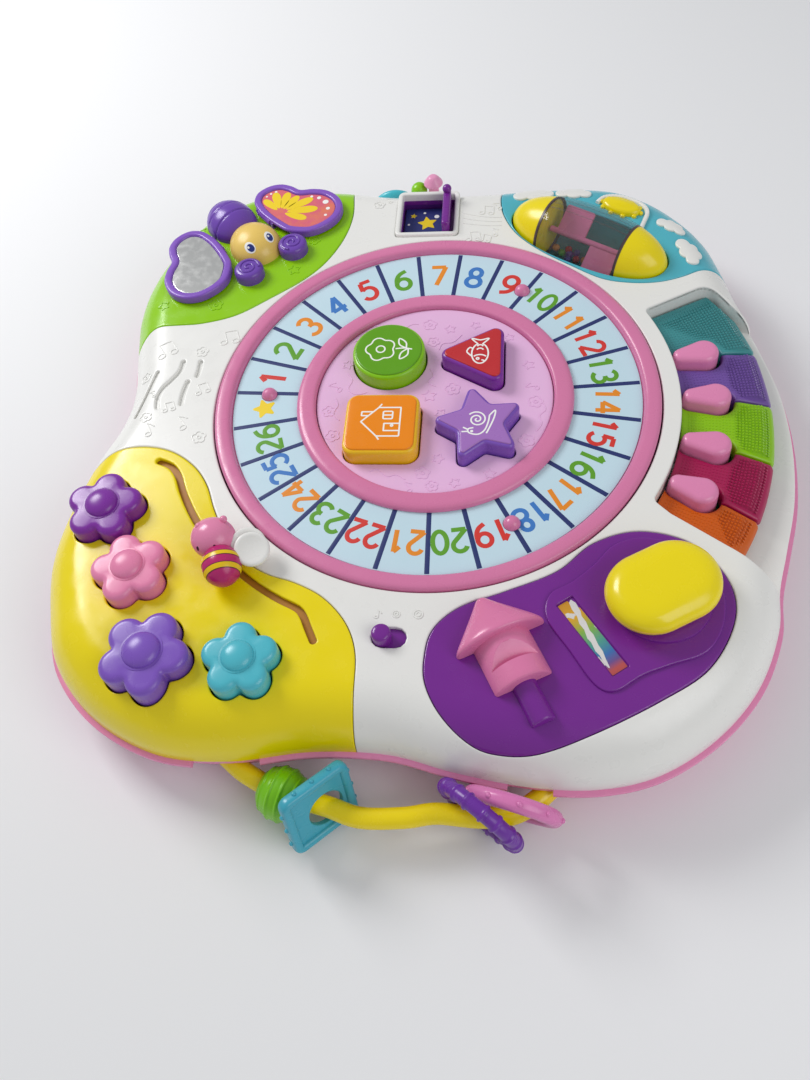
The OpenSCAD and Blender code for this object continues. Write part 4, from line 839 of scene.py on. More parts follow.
# ---------- Shell relief ----------
# Notes, blossoms and staves raised on the white shell in fine lines, and three marks above the switch. They
# are moulded in one piece with the shell.
shell_motifs = {"pair": [(-180.8, 41.2, 15, 35), (-138.9, 51.3, 14, 20), (-149.6, 7, 10.5, 30),
    (-169, -8, 9, 25), (29, 169.5, 11, 0), (20, 143, 11, 10), (28.5, 140.6, 9, -10)],
    "blossom": [(-155.5, 38, 8.5, 0), (-144.5, -32.8, 9, 10), (-191.3, 19.5, 8, 0), (-182.5, -16.5, 8, 30),
    (-49.3, 178, 8, 0)], "note": [(-157, -21, 11, 40), (-177.7, -26.5, 10, 30), (-182, 3, 6, 60),
    (-43, 184, 8, 60), (36, 173, 8, 60), (35, 146, 8, 30), (-21.7, -152.4, 5, 0)],
    "ring": [(0, -152, 5, 0), (-11.9, -152.2, 4, 0)]}
staves = [[(12 + 5.4 * k, 166.5 - 5.2 * j - (1.1 + 0.35 * (3 - j)) * k * (1 - 0.1 * k)) for k in range(6)]
          for j in range(3)]
raised = relief(shell_motifs, dome, 0.4, 0.42)
for stave in staves:
    path = curve_through(stave, 5)
    raised.append(ridge(path, 0.35, dome(path), 0.35, 0.5, False, 5))
add_piece("shell_raised_pattern", raised, white, "table")

# ---------- Green panel relief ----------
# Small outline stars and blossoms raised on the green panel round the butterfly. They are moulded in one
# piece with the panel.
green_motifs = {"star": [(-180, 159, 9, 20), (-92.6, 190, 8, 40), (-191, 81, 9, 30), (-103.7, 113, 10, 15),
    (-128, 186, 8, 0)], "blossom": [(-170, 172, 8, 0), (-154, 80.5, 10, 10), (-93, 142.8, 9, 50),
    (-180, 104, 8, 20)]}
add_piece("green_raised_pattern", relief(green_motifs, dome, 0.4, 0.4), panels["green"], "table")

# ---------- Butterfly ----------
# A plump ribbed body and two rolled feelers in purple plastic and a beige head with printed eyes, fixed on
# the green panel. Two wings are hinged beside the body and lift.
fly_at, fly_turn = (-137.5, 140.0), 41.3
fly_purple = moulded("fly_purple", "6E45AC", rough=0.24)


def on_fly(points, side=1):
    """Points given beside the butterfly's middle line, mirrored for side -1, turned and moved to its
    place."""
    p = np.array(points, float)
    p[..., 0] *= side
    flat = flat_turn(p[..., :2], fly_turn, fly_at)
    return np.concatenate([flat, p[..., 2:]], -1)


def spun(profile, origin, axis, n=64, ends="open"):
    """Profile of (radius, distance) points turned about the axis through origin: u cos a + w sin a across
    it."""
    p = np.asarray(profile, float)
    t = np.asarray(axis, float) / np.linalg.norm(axis)
    u = np.cross(t, (0, 0, 1) if abs(t[2]) < 0.9 else (1, 0, 0))
    u /= np.linalg.norm(u)
    w = np.cross(t, u)
    a = np.linspace(0, 2 * np.pi, n, endpoint=False)[:, None]
    around = np.cos(a) * u + np.sin(a) * w
    return skin(np.asarray(origin) + p[:, 1, None, None] * t + p[:, :1, None] * around[None], ends)


def half_egg(middle, radii, grooves=(), n=72):
    """Half an ellipsoid that stands on its middle: radii times (cos v cos u, cos v sin u, sin v). A groove at
    a distance along it takes 0.7 mm times exp(-(d / 0.55) ^ 2) off the radius."""
    u = np.linspace(0, 2 * np.pi, n, endpoint=False)[None]
    v = np.linspace(0, np.pi / 2, 40)[:, None]
    x, y, z = np.cos(v) * np.cos(u), np.cos(v) * np.sin(u), np.sin(v) + 0 * u
    scale = np.ones_like(x)
    for g in grooves:
        scale -= 0.7 / radii[2] * np.exp(-((radii[1] * y - g) / 0.55) ** 2)
    rows = np.stack([x * radii[0] * scale, y * radii[1] * scale, z * radii[2] * scale], 2)
    foot = rows[:1] * (1, 1, 0) - (0, 0, 1.2)
    rows = np.concatenate([foot * (0, 0, 1), foot, rows]) + np.asarray(middle)
    return skin(rows, "open")


def moved(part, place, *more):
    """The part with its points passed through place, with what more it takes."""
    return place(part[0], *more), part[1]


hinge_at, along_fly, feeler_at = (21.5, 0, 67), (0, 1, 0), np.array([18.3, -26.5])
roll = [(0, 63), (10.2, 63), (10.2, 69), (9.9, 70.5), (9.1, 71.6), (8, 72.2), (6.4, 72.4), (0, 72.4)]
wind = np.linspace(0, 3.6 * np.pi, 90)
coil = feeler_at + (0.8 + 0.62 * wind)[:, None] * np.stack([np.cos(wind - 1.2), np.sin(wind - 1.2)], 1)
beside = [turned(roll, feeler_at, 64, "open"), ridge(coil, 0.85, 72.3, 0.75, 0.3),
          spun([(0, 3), (1.5, 3), (1.5, 25), (0, 25)], hinge_at, along_fly, 24)]
for y in (3, 22):
    beside += [pillow(box_loop(19.6, 23.4, y, y + 3, 0.6), 63, 67, 0.1),
               spun([(0, y), (2, y), (2, y + 3), (0, y + 3)], hinge_at, along_fly, 32)]
fly_parts = [moved(half_egg((0, 27.5, 64), (17.7, 21, 15.9), (4.5, -5.5, 13), 144), on_fly)]
fly_parts += [moved(part, on_fly, side) for side in (-1, 1) for part in beside]
add_piece("butterfly_moulding", fly_parts, fly_purple, "table", ["butterfly_body"])
beige = moulded("fly_beige", "EBC766", rough=0.3)
head_at, head_size = np.array([0.3, -4.5, 64.0]), np.array([18.2, 20.2, 15.2])
add_piece("butterfly_beige_head", [moved(half_egg(head_at, head_size), on_fly)], beige, "table",
          ["butterfly_head"])


def decal(middle, radii, axis, along, rx, ry, high=0.12, n=28):
    """Thin printed patch on an ellipsoid: an ellipse rx by ry in angle about the direction axis, its long
    side turned towards along, laid on the surface and closed below."""
    t = np.asarray(axis, float) / np.linalg.norm(axis)
    u = np.asarray(along, float) - np.dot(along, t) * t
    u /= np.linalg.norm(u)
    w = np.cross(t, u)
    a = np.linspace(0, 2 * np.pi, n, endpoint=False)
    s = np.linspace(0, 1, 6)[:, None, None]
    out = t + s * (rx * np.cos(a)[None, :, None] * u + ry * np.sin(a)[None, :, None] * w)
    out /= np.linalg.norm(out, axis=2)[..., None]
    on = np.asarray(middle) + out * radii
    rows = np.concatenate([on + high * out, (on - 0.4 * out)[::-1]])
    return skin(rows, "open")


ink_eye = moulded("ink_eye", "22307A", rough=0.2, peel=0.0)
eye_white, eye_blue, eye_spark = [], [], []
for ex in (-8.0, 6.6):
    look = np.array([ex, -8.4, 12.4])
    for patches, shift, along, *size in ((eye_white, (0, 0, 0), (0.1, 1, 0.3), 0.24, 0.2),
                                         (eye_blue, (0.3, -0.4, 0), (0.1, 1, 0.3), 0.165, 0.135, 0.2),
                                         (eye_spark, (-0.6, 0.8, 0), (0, 1, 0), 0.045, 0.045, 0.27, 12)):
        patches.append(moved(decal(head_at, head_size, look + shift, along, *size), on_fly))
add_piece("butterfly_eye_whites", eye_white + eye_spark, print_white, "table")
add_piece("butterfly_eye_blues", eye_blue, ink_eye, "table")


def lobes(middle, circles, k=1.3, n=150):
    """Outline of several circles run together: along each direction from the middle, k times the log of the
    sum of exp(far crossing / k)."""
    a = np.linspace(0, 2 * np.pi, n, endpoint=False)
    way = np.stack([np.cos(a), np.sin(a)], 1)
    far = []
    for x, y, r in circles:
        off = np.array([x, y]) - middle
        b = way @ off
        q = r * r - off @ off + b * b
        far.append(np.where(q > 0, b + np.sqrt(np.clip(q, 0, None)), -50))
    length = k * np.log(np.exp(np.array(far) / k).sum(0))
    return np.asarray(middle) + length[:, None] * way


wing_outline = curve_through([(20, 7), (19.6, 16), (20.6, 25), (23.2, 32), (30, 37.6), (40, 38), (48.4, 33.6),
    (53, 26), (55.4, 18.4), (62.8, 12.6), (69.4, 4), (71.4, -7.8), (67.4, -18.4), (58, -25.2), (46, -26.6),
    (35.4, -24), (28, -17.4), (23.4, -11), (21.8, -5), (20.8, 1)], 6, True)[::-1]
wing_purple = moulded("wing_purple", "8456BE", rough=0.26)
wing_field = inset(wing_outline, 5.3)
knuckle = spun([(1.6, 6.6), (2.8, 6.6), (2.8, 21.4), (1.6, 21.4)], hinge_at, along_fly, 32, "joined")
tab = pillow(box_loop(21.6, 27, 7, 21, 0.8), 65.6, 68.4, 0.5)
wing_parts = [plate([wing_outline], [wing_field], 70.4, lambda q: np.where(q[:, 0] < 25, 69.2, 65.1), 1.5),
              plate([inset(wing_field, -0.4)], [], 68.6, 65.3, 0.1), knuckle, tab]
for name, side in (("left", -1), ("right", 1)):
    add_piece(name + "_wing_frame", [moved(part, on_fly, side) for part in wing_parts], wing_purple,
              "wing_" + name, ["wing_" + name])
mirror, nodes, link, shader = new_material("wing_mirror", Base_Color=(0.82, 0.82, 0.8, 1), Metallic=1.0)
scratch = new_node(nodes, "TexNoise", Scale=160, Detail=10)
dull = new_node(nodes, "MapRange", From_Min=0.45, From_Max=0.75, To_Min=0.2, To_Max=0.29)
link(new_node(nodes, "TexCoord").outputs["Object"], scratch.inputs["Vector"])
link(scratch.outputs["Fac"], dull.inputs["Value"])
link(dull.outputs["Result"], shader.inputs["Roughness"])
glass = plate([inset(wing_field, 0.35)], [], 69.3, 68.3, 0.3)
add_piece("left_wing_mirror", [moved(glass, on_fly, -1)], mirror, "wing_left", ["wing_mirror"])
wing_print = paper_label("wing_print", "D9607A", "E88A3A", 0.42, 0.58)
card = plate([inset(wing_field, 0.3)], [], 69.1, 68.4, 0.1)
add_piece("right_wing_print", [moved(card, on_fly)], wing_print, "wing_right")
cell_z, cell_top = 69.0, 69.18
cells, spots = [], []
for angle, reach, size in ((94, 20, 6), (66, 23, 6.6), (40, 22, 6.6), (15, 21, 6.4), (-9, 27, 7.4),
                           (-35, 28, 7.6), (-62, 22, 6.4)):
    s = np.linspace(0, 2 * np.pi, 30, endpoint=False)
    drop = np.stack([0.58 * reach + 0.4 * reach * np.cos(s),
                     size * 0.62 * np.sin(s) * (0.75 + 0.25 * np.cos(s))], 1)
    cell = flat_turn(drop, angle, (31, 9))
    cells.append(moved(pillow(cell, cell_z, cell_top, 0.06), on_fly))
for x, y, r in ((33, 30.2, 0.8), (37, 30.6, 0.9), (41, 29.8, 1.0), (57.5, 7, 1.1), (60.6, 2, 1.5),
                (61.6, -5, 2.2), (58.8, -12, 1.5),
                (53.5, -16.6, 1.1)):
    spots.append(moved(pillow(ring_of(r, 16, (x, y)), cell_z, cell_top, 0.06), on_fly))
add_piece("right_wing_cells", cells, star_ink, "wing_right")
add_piece("right_wing_spots", spots, print_white, "wing_right")

# ---------- Bee ----------
# A small bee on a post that runs in the curved slot: round pink head with ears, striped magenta body and a
# white wing. Below the slot lies the brown track in which its foot slides.
bee_pink = moulded("bee_pink", "E286AC", rough=0.24)
bee_magenta = moulded("bee_magenta", "B8206A", rough=0.22)
bee_head, bee_tail = np.array([-116.8, -113.4, 76.4]), np.array([-109.4, -130.4, 75.4])
body_axis, body_r, body_half = (*polar(1, -72), 0), 11, 12.5


def round_side(rx, ry, z=0.0, step=1):
    """Right half of an ellipse with its middle at height z, from its lowest point to its highest, as a
    profile."""
    t = np.linspace(-np.pi / 2, np.pi / 2, 33)[::step]
    return np.stack([rx * np.cos(t), z + ry * np.sin(t)], 1)


def body_band(start, stop, lift, n):
    """Band round the bee's body between two distances along it: lift above the ellipse's radius, and 0.5
    thick."""
    d = np.linspace(start, stop, n)
    outer = np.stack([body_r * np.sqrt(1 - (d / body_half) ** 2) + lift, d], 1)
    return spun(np.concatenate([outer, (outer - (0.5, 0))[::-1]]), bee_tail, body_axis, 64, "joined")


foot = turned([(0, 56.4), (5, 56.4), (5, 58.8), (1.6, 58.8), (1.6, 68), (0, 68)], polar(164, 226.5), 32,
              "open")
bee_parts = [spun(round_side(body_r, body_half), bee_tail, body_axis), foot]
stripe_at, stripe_w, line_w = (-3.4, 4.2), 2.6, 0.35
bands = [body_band(start, start + stripe_w, 0.12, 7) for start in stripe_at]
edges = [body_band(e, e + line_w, 0.14, 2) for start in stripe_at for e in (start - line_w, start + stripe_w)]
add_piece("bee_magenta_body", bee_parts, bee_magenta, "bee", ["bee_body"])
add_piece("bee_stripes", bands, moulded("ink_stripe", "E8C000", rough=0.3), "bee")
add_piece("bee_stripe_edges", edges, moulded("ink_dark", "4A1B2A", rough=0.3), "bee")
wing_disc = [(0, -1.5), (8.6, -1.5), (9.6, -1.2), (10, -0.4), (10, 0.5), (9.6, 1.2), (8.8, 1.5), (7.6, 1.5),
             (7, 1.2), (0, 1.2)]
wing_axis = (0.2418, -0.2418, 0.9397)
wings = [spun(wing_disc, place, wing_axis) for place in ((-93.6, -120.4, 76.6), (-96.4, -116.6, 75.6))]
add_piece("bee_white_wing", wings, white, "bee")
ears = [spun(round_side(2.1, 2.1, step=4), bee_head + (6.6 * s, 5 + 2.4 * s, 8.4), (0, 0, 1), 24)
        for s in (-1, 1)]
round_head = moved(spun(round_side(12, 11.6), (0, 0, 0), (0, 0, 1)), lambda p: bee_head + p * (1.07, 1, 1))
add_piece("bee_round_head", [round_head, *ears], bee_pink, "bee", ["bee_head"])
face_size = (12.7, 11.9, 11.5)
dots = [decal(bee_head, face_size, look, (0, 0.3, 1), 0.13, 0.075, 0.15, 14)
        for look in ((-5.8, -9.6, 4.6), (4.0, -9.8, 6.6))]
dots.append(decal(bee_head, face_size, (-1.6, -11.4, 2.4), (1, 0, 0.3), 0.06, 0.03, 0.15, 12))
add_piece("bee_eyes", dots, moulded("ink_black", "17151A", rough=0.2), "bee")
track_brown = moulded("track_brown", "B0761A", rough=0.45)
track = plate([wound(ribbon(bee_path, 6))], [], lambda q: np.minimum(dome(q) - 2.6, 60.6),
              lambda q: np.minimum(dome(q) - 4, 59.2), 0.3)
add_piece("bee_track", [track], track_brown, "table")

# ---------- Window ----------
# A white frame with a rounded top round a shallow purple well. A dark blue printed card lies in the well,
# just under a moulded purple cover with a finger rib, which slides over it out of a pocket under the shell.
window_loop = box_loop(-32, 5.6, 147, 186, 1.2)
frame_wall = [(0, 57), (0, 64.6), (-0.3, 65.2), (-0.9, 65.6), (-2.6, 65.6), (-3.2, 65.3), (-3.45, 64.7),
              (-3.45, 57)]
add_piece("window_white_frame", [skin(carry(window_loop, frame_wall), "joined")], white, "table",
          ["window_frame"])
liner = carry(window_loop, [(-0.05, 56.9), (0.55, 56.9), (0.55, 60.1), (-0.05, 60.1)])
add_piece("window_purple_liner", [skin(liner, "joined")], panels["purple"], "table")
indigo = moulded("well_indigo", "5A2383", rough=0.4)
card_ink = moulded("ink_night", "232C72", rough=0.5, peel=0.0)
card_loop = box_loop(-30.6, 4.2, 148.4, 184.6, 0.8)
add_piece("window_card", [pillow(card_loop, 53.3, 53.8, 0.1)], card_ink, "table")
print_z, print_top = 53.7, 53.92
stars = [pillow(loop, print_z, print_top, 0.05) for loop in (star_loop(-14.5, 169, 7.6, 100, 0.5, 0.05),
                                                             star_loop(-25, 177, 2.6, 80, 0.5, 0.05, 3))]
add_piece("window_card_stars", stars, star_ink, "table")
dots = [pillow(ring_of(r, 14, (x, y)), print_z, print_top, 0.05) for x, y, r in (
    (-26, 157, 1.5), (-8, 176, 1.8), (-7, 153, 1.2), (-17, 180, 1.0), (-28, 168, 0.9))]
add_piece("window_card_dots", dots, print_white, "table")
purple = panels["purple"]
cover = [pillow(box_loop(-2.5, 33.5, 147.6, 185.4, 1.2), 54.5, 56.5, 0.3),
         pillow(box_loop(-2.5, 3.0, 148, 185, 2.4), 55.5, 72, (2.2, 1.6)),
         spun(round_side(3.2, 3.2), (0.2, 181.5, 73.4), (0, 0, 1), 40)]
add_piece("window_sliding_cover", cover, purple, "shutter", ["shutter"])

# ---------- Switch ----------
# A round purple knob on a slide that shows in the slot below it. Both are moulded in one piece, and the slide
# is held under the white shell.
slide = pillow(box_loop(-31.5, -4.9, -173.6, -158.4, 1), 58.8, 61.1, 0.2)
knob_side = [(0, 60), (5.3, 60), (5.3, 68.6), (5.15, 69.6), (4.7, 70.3), (3.9, 70.7), (2.8, 70.9), (0, 71)]
add_piece("switch_round_knob", [slide, turned(knob_side, (-18.5, -166), 56, "open")], purple, "switch",
          ["switch_knob"])

# ---------- Back figures ----------
# Three small plastic shapes that stand up at the back edge: a turquoise hump, a green ball on a stalk and a
# pink toadstool.
figure_teal = moulded("figure_teal", "44B8C6")
u, v = np.meshgrid(np.linspace(0, 2 * np.pi, 64, endpoint=False), np.linspace(-np.pi / 2, np.pi / 2, 33))
hump = np.stack([-40 + 19 * np.cos(v) * np.cos(u), 200 + 7 * np.cos(v) * np.sin(u), 39.6 + 19 * np.sin(v)], 2)
add_piece("back_teal_hump", [skin(hump, "open")], figure_teal, "table", ["back_figures"])
stalk = [(0, 42), (2.5, 42), (2.5, 52), (0, 52)]
ball_at = (-22.5, 204)
add_piece("back_green_ball", [turned(stalk, ball_at, 32, "open"),
                              turned(round_side(6, 6, 55), ball_at, 48, "open")],
          moulded("figure_green", "86C80A"), "table")
toadstool = curve_through([(0, 46), (4, 46), (3.9, 56), (3.7, 63), (4.3, 65.4), (6.6, 66.3), (6.9, 67.6),
    (5.4, 70.6), (4, 73), (2.4, 74.6), (0, 75)], 4)
toadstool = np.maximum(toadstool * (1, 0.76) + (0, 11), 0)
add_piece("back_pink_toadstool", [turned(toadstool, (-11.5, 203), 48, "open")],
          moulded("figure_pink", "E99BC2"), "table")

# ---------- Roller ----------
# A barrel that spins in its trough: a smoky clear drum between two yellow caps, with dark bands at the
# joints. Inside are a spindle, two pink vanes and loose beads.
roller_axis = np.array([np.cos(roller_turn), np.sin(roller_turn), 0])
joint_s, cap_s, drum_wall = 29.2, 30.9, 1.2
cap_yellow = moulded("knob_yellow", "F2DC00", rough=0.24)
s = cap_s + 27.0 * np.sin(np.linspace(0, np.pi / 2, 36))
cap_line = np.concatenate([[(0, cap_s)], np.stack([roller_radius(s), s], 1), [(0, roller_half)]])
pin = np.array([(0, 56), (1.2, 56), (1.2, 59.1), (0, 59.3)])
caps = [spun(profile, roller_at, way * roller_axis) for profile in (cap_line, pin) for way in (1, -1)]
add_piece("roller_yellow_caps", caps, cap_yellow, "roller", ["roller_caps"])
band_grey = moulded("band_grey", "4A3B3E", rough=0.35)
s = np.array([joint_s, cap_s])
ring = np.stack([roller_radius(s) + 0.12, s], 1)
bands = [spun(np.concatenate([ring, ring[::-1] - (drum_wall, 0)]), roller_at, way * roller_axis, 96, "joined")
         for way in (1, -1)]
add_piece("roller_dark_bands", bands, band_grey, "roller")
smoky, nodes, link, shader = new_material("drum_clear", Alpha=0.15, IOR=2.0)
tone, haze = new_node(nodes, "TexNoise", Scale=20), new_node(nodes, "TexNoise", Scale=180, Detail=8)
place_node = new_node(nodes, "TexCoord")
smoke = colour_mix(nodes, (0.16, 0.155, 0.15, 1), (0.10, 0.095, 0.09, 1))
dim = new_node(nodes, "MapRange", To_Min=0.03, To_Max=0.12)
link(place_node.outputs["Object"], tone.inputs["Vector"])
link(place_node.outputs["Object"], haze.inputs["Vector"])
link(tone.outputs["Fac"], smoke.inputs[0])
link(smoke.outputs[2], shader.inputs["Base Color"])
link(haze.outputs["Fac"], dim.inputs["Value"])
link(dim.outputs["Result"], shader.inputs["Roughness"])
s = np.linspace(-joint_s, joint_s, 41)
wall_line = np.stack([roller_radius(s), s], 1)
drum = spun(np.concatenate([wall_line, wall_line[::-1] - (drum_wall, 0)]), roller_at, roller_axis, 128,
            "joined")
flutes = []
for angle in (40, 52, 64, 76, 88):
    a = np.radians(angle + 40)
    r = roller_radius(s) + 0.05
    middle = on_roller(s, -r * np.cos(a), r * np.sin(a))
    out = middle - on_roller(s, 0 * s, 0 * s)
    out /= np.linalg.norm(out, axis=1)[:, None]
    side = np.cross(np.broadcast_to(roller_axis, out.shape), out)
    w = np.linspace(0, np.pi, 6)[None, :, None]
    flutes.append(skin(middle[:, None] + 0.55 * np.cos(w) * side[:, None]
                       + (0.35 * np.sin(w) - 0.12) * out[:, None]))
add_piece("roller_clear_drum", [drum, *flutes], smoky, "roller", ["roller_drum"])
vane_pink = moulded("whistle_pink", "DD7CA8", rough=0.26)
vane_turn = np.radians(-52)
vanes = [spun([(0, -29), (2, -29), (2, 29), (0, 29)], roller_at, roller_axis, 24)]
for s0, s1, r0, r1 in ((-24, -3, 0.5, 18.6), (3, 24, -18.6, -0.5)):
    points, faces = pillow(box_loop(s0, s1, r0, r1, 1.5), -1, 1, 0.4)
    a, b = points[:, 1], points[:, 2]
    across = b * np.cos(vane_turn) - a * np.sin(vane_turn)
    up = a * np.cos(vane_turn) + b * np.sin(vane_turn)
    vanes.append((on_roller(points[:, 0], across, up), faces))
add_piece("roller_pink_vanes", vanes, vane_pink, "roller", ["roller_paddles"])
bead_codes = {"red": "C8202C", "green": "4FA51E", "amber": "E29A4E", "violet": "5B48A8"}
bead_r = 2.6
spots = {"red": [(-8, -90), (-17, -74)], "green": [(-20, -88), (1.5, -100)],
         "amber": [(-25.5, -82), (-2.6, -84)],
         "violet": [(-14.4, -84), (-10.5, -74), (-13, -100)]}
for name, code in bead_codes.items():
    beads = []
    for s0, angle in spots[name]:
        at = on_roller(s0, *polar(roller_radius(s0) - 4.2, angle))
        beads.append(spun(round_side(bead_r, bead_r, step=3), at, (0, 0, 1), 20))
    add_piece("roller_beads_" + name, beads, moulded("bead_" + name, code), "roller")

# ---------- Sky pattern ----------
# White clouds stand on the turquoise panel. Behind the roller is a plain yellow sun under a white rope arch.
# All are low reliefs moulded in plastic and fixed on the panel.
puffs = [(0, 0, 0.62), (0.75, -0.1, 0.42), (-0.78, -0.08, 0.46), (0.32, 0.34, 0.4), (-0.3, 0.36, 0.36)]
puff_loop = lobes((0, 0), [(8 * x, 8 * y, 8 * r) for x, y, r in puffs], 0.5, 90)
clouds = []
for x, y, size, turn in ((155, 147.3, 9, -35), (164.1, 121.5, 10.5, -70), (61.8, 185.1, 12, 5),
                         (90, 185, 10.5, -5)):
    part = pillow(flat_turn(puff_loop, turn, (x, y), size / 8), 0, 2.0, 0.9, 0.25)
    part[0][:, 2] += dome(part[0][:, :2]) - 0.6
    clouds.append(part)
add_piece("white_clouds", clouds, white, "table")
sun_at, sun_turn = np.array([122.0, 167.0]), -28
sun = [pillow(flat_turn(ellipse(0, 0, 14, 7.6, 0, 352.5, 48), sun_turn, sun_at), -1, 4.2, (3.6, 3.2), 1.2)]
for angle in np.radians(np.arange(0, 360, 36)):
    tip = flat_turn([(14.4 * np.cos(angle), 8 * np.sin(angle))], sun_turn, sun_at)[0]
    sun.append(pillow(ring_of(1.7, 16, tip), -1, 1.9, 1.1, 0.2, 5))
for part in sun:
    part[0][:, 2] += dome(part[0][:, :2])
add_piece("yellow_sun", sun, panels["yellow"], "table")
arch = flat_turn(curve_through([(-17, -3), (-15, 4), (-8, 9.5), (2, 11), (12, 9), (18, 3), (20, -6),
                                (21, -14)], 12),
                 sun_turn, sun_at)
rope = ridge(arch, 1.5, dome(arch), 2.2, 0.3)
rope[0][:, 2] += 0.18 * np.sin(2.2 * np.repeat(np.arange(len(arch)), 7))
add_piece("white_rope_arch", [rope], white, "table")

# ---------- Slide whistle ----------
# A half-round pink slide with a cone-shaped hood and a thumb notch, moulded in one piece. It runs on a
# half-round rail that stands on the purple panel.
whistle_at, whistle_turn = (32.7, -143.0), -63.4


def on_whistle(p):
    """Points given along the whistle from its apex, across it and above the panel, put in their place."""
    return np.concatenate([flat_turn(p[..., :2], whistle_turn, whistle_at), p[..., 2:] + top_z], -1)


def half_round(s, half, high, foot, n=41):
    """Closed half-round solid: at each distance s a half ellipse, half wide and high, above its flat foot."""
    a = np.linspace(0, np.pi, n)
    s, half, high = (np.asarray(row)[:, None] for row in (s, half, high))
    return skin(np.stack([np.broadcast_to(s, (len(s), n)), half * np.cos(a), foot + high * np.sin(a)], 2))


hood_line = curve_through([(0, 0.6, 0.9), (0.35, 2.2, 2.6), (1.6, 3.7, 4.2), (8, 9.4, 8.2), (15, 16, 12.2),
    (21.5, 22.2, 15.4), (24.4, 24.6, 16.4), (26, 25, 16.4), (26.9, 24, 15.4), (27.1, 21, 13)], 5)
hood = half_round(*hood_line.T, 0.3)
barrel_s = np.concatenate([[26, 30, 32.4], np.linspace(32.6, 42.9, 36),
                           [43, 43.05, 46, 50, 52.4, 53.2, 53.7, 53.9]])
barrel_r, barrel_z, barrel_foot = 16.5, -4, 0.3
a = np.linspace(np.arcsin(4.3 / barrel_r), np.pi - np.arcsin(4.3 / barrel_r), 121)
inset_end = np.interp(barrel_s, [26, 52.4, 53.2, 53.7, 53.9], [0, 0, 0.25, 0.8, 1.5])
radius = (barrel_r - inset_end)[:, None]
barrel = np.stack([np.broadcast_to(barrel_s[:, None], (len(barrel_s), len(a))), radius * np.cos(a),
                   barrel_z + radius * np.sin(a)], 2)
slope = np.where((barrel_s > 32.5) & (barrel_s < 43.02), 12.2 - 6.2 * (barrel_s - 32.5) / 10.5, 99)
barrel[:, :, 2] = np.maximum(np.minimum(barrel[:, :, 2], slope[:, None]), barrel_foot)
add_piece("whistle_pink_slide", [moved(hood, on_whistle), moved(skin(barrel), on_whistle)], vane_pink,
          "whistle", ["whistle"], 28)
rail_s = np.array([30, 74.6, 75.4, 75.85, 76])
rail_r = 6.7 - np.array([0, 0, 0.2, 0.6, 1.2])
rail = half_round(rail_s, rail_r, rail_r, -0.5, 33)
add_piece("whistle_rail", [moved(rail, on_whistle)], purple, "table")

# ---------- Turning knob ----------
# A large yellow knob, a plump stadium in two halves, on a round purple base. Round it lies a low wavy
# platform with a narrow window where a printed rainbow label is half torn away.
platform_loop = wound(curve_through([(70, -139), (82, -131), (94, -120), (106, -107), (124, -103),
    (146, -111), (159, -130), (159, -152), (149, -170), (130, -178), (116, -184), (102, -193), (92, -190),
    (80, -172), (68, -153)], 6, True))
knob_at, label_at, label_turn = np.array([127.5, -139.5]), np.array([91.3, -162.6]), -55
label_loop = flat_turn(box_loop(-24.2, 24.2, -5.2, 5.2, 0.8), label_turn, label_at)
platform = plate([platform_loop], [label_loop], lambda q: dome(q) + 1.6, lambda q: dome(q) - 0.4, 0.8)
base_ring = turned([(0, 64), (27, 64), (27, 66.2), (26.7, 66.8), (26, 67), (0, 67)], knob_at, 96, "open")
floor_part = pillow(inset(label_loop, -0.5), 63.6, 64.25, 0.1)
add_piece("knob_platform", [platform, base_ring, floor_part], purple, "table")
rainbow, nodes, link, shader = new_material("rainbow_paper", Roughness=0.5)
place_node, turn_node = new_node(nodes, "TexCoord"), new_node(nodes, "Mapping")
turn_node.vector_type = "TEXTURE"
set_inputs(turn_node, Location=(*(0.001 * label_at), 0), Rotation=(0, 0, np.radians(label_turn)))
apart, ramp = new_node(nodes, "SeparateXYZ"), new_node(nodes, "ValToRGB")
along = new_node(nodes, "MapRange", From_Min=-0.024, From_Max=0.024)
stops = ((0.0, "C78A1E"), (0.22, "D9A428"), (0.42, "7FB04A"), (0.6, "4D9C8E"), (0.76, "3A6FB0"),
         (0.86, "6A4E8E"),
         (0.94, "B8504E"))
while len(ramp.color_ramp.elements) < len(stops):
    ramp.color_ramp.elements.new(0.5)
for element, (where, code) in zip(ramp.color_ramp.elements, stops):
    element.position, element.color = where, linear(code)
tear = new_node(nodes, "TexNoise", Scale=75, Detail=7)
tear_mix = colour_mix(nodes, linear("D9D6D2"))
torn = new_node(nodes, "MapRange", From_Min=0.62, From_Max=0.64)
rough = new_node(nodes, "Bump", Strength=0.3, Distance=0.0006)
for source, target in ((place_node.outputs["Object"], turn_node.inputs["Vector"]),
                       (turn_node.outputs["Vector"], apart.inputs[0]),
                       (apart.outputs["X"], along.inputs["Value"]),
                       (along.outputs["Result"], ramp.inputs["Fac"]),
                       (place_node.outputs["Object"], tear.inputs["Vector"]),
                       (tear.outputs["Fac"], torn.inputs["Value"]),
                       (torn.outputs["Result"], tear_mix.inputs[0]),
                       (ramp.outputs["Color"], tear_mix.inputs[6]),
                       (tear_mix.outputs[2], shader.inputs["Base Color"]),
                       (torn.outputs["Result"], rough.inputs["Height"]),
                       (rough.outputs["Normal"], shader.inputs["Normal"])):
    link(source, target)
printed = np.array([(-23.6, 1.4), (-23.6, -4.6), (23.6, -4.7), (23.6, 4.7), (-16.5, 4.7), (-18, 3.4),
    (-19.6, 3.9), (-20.4, 2.2)])
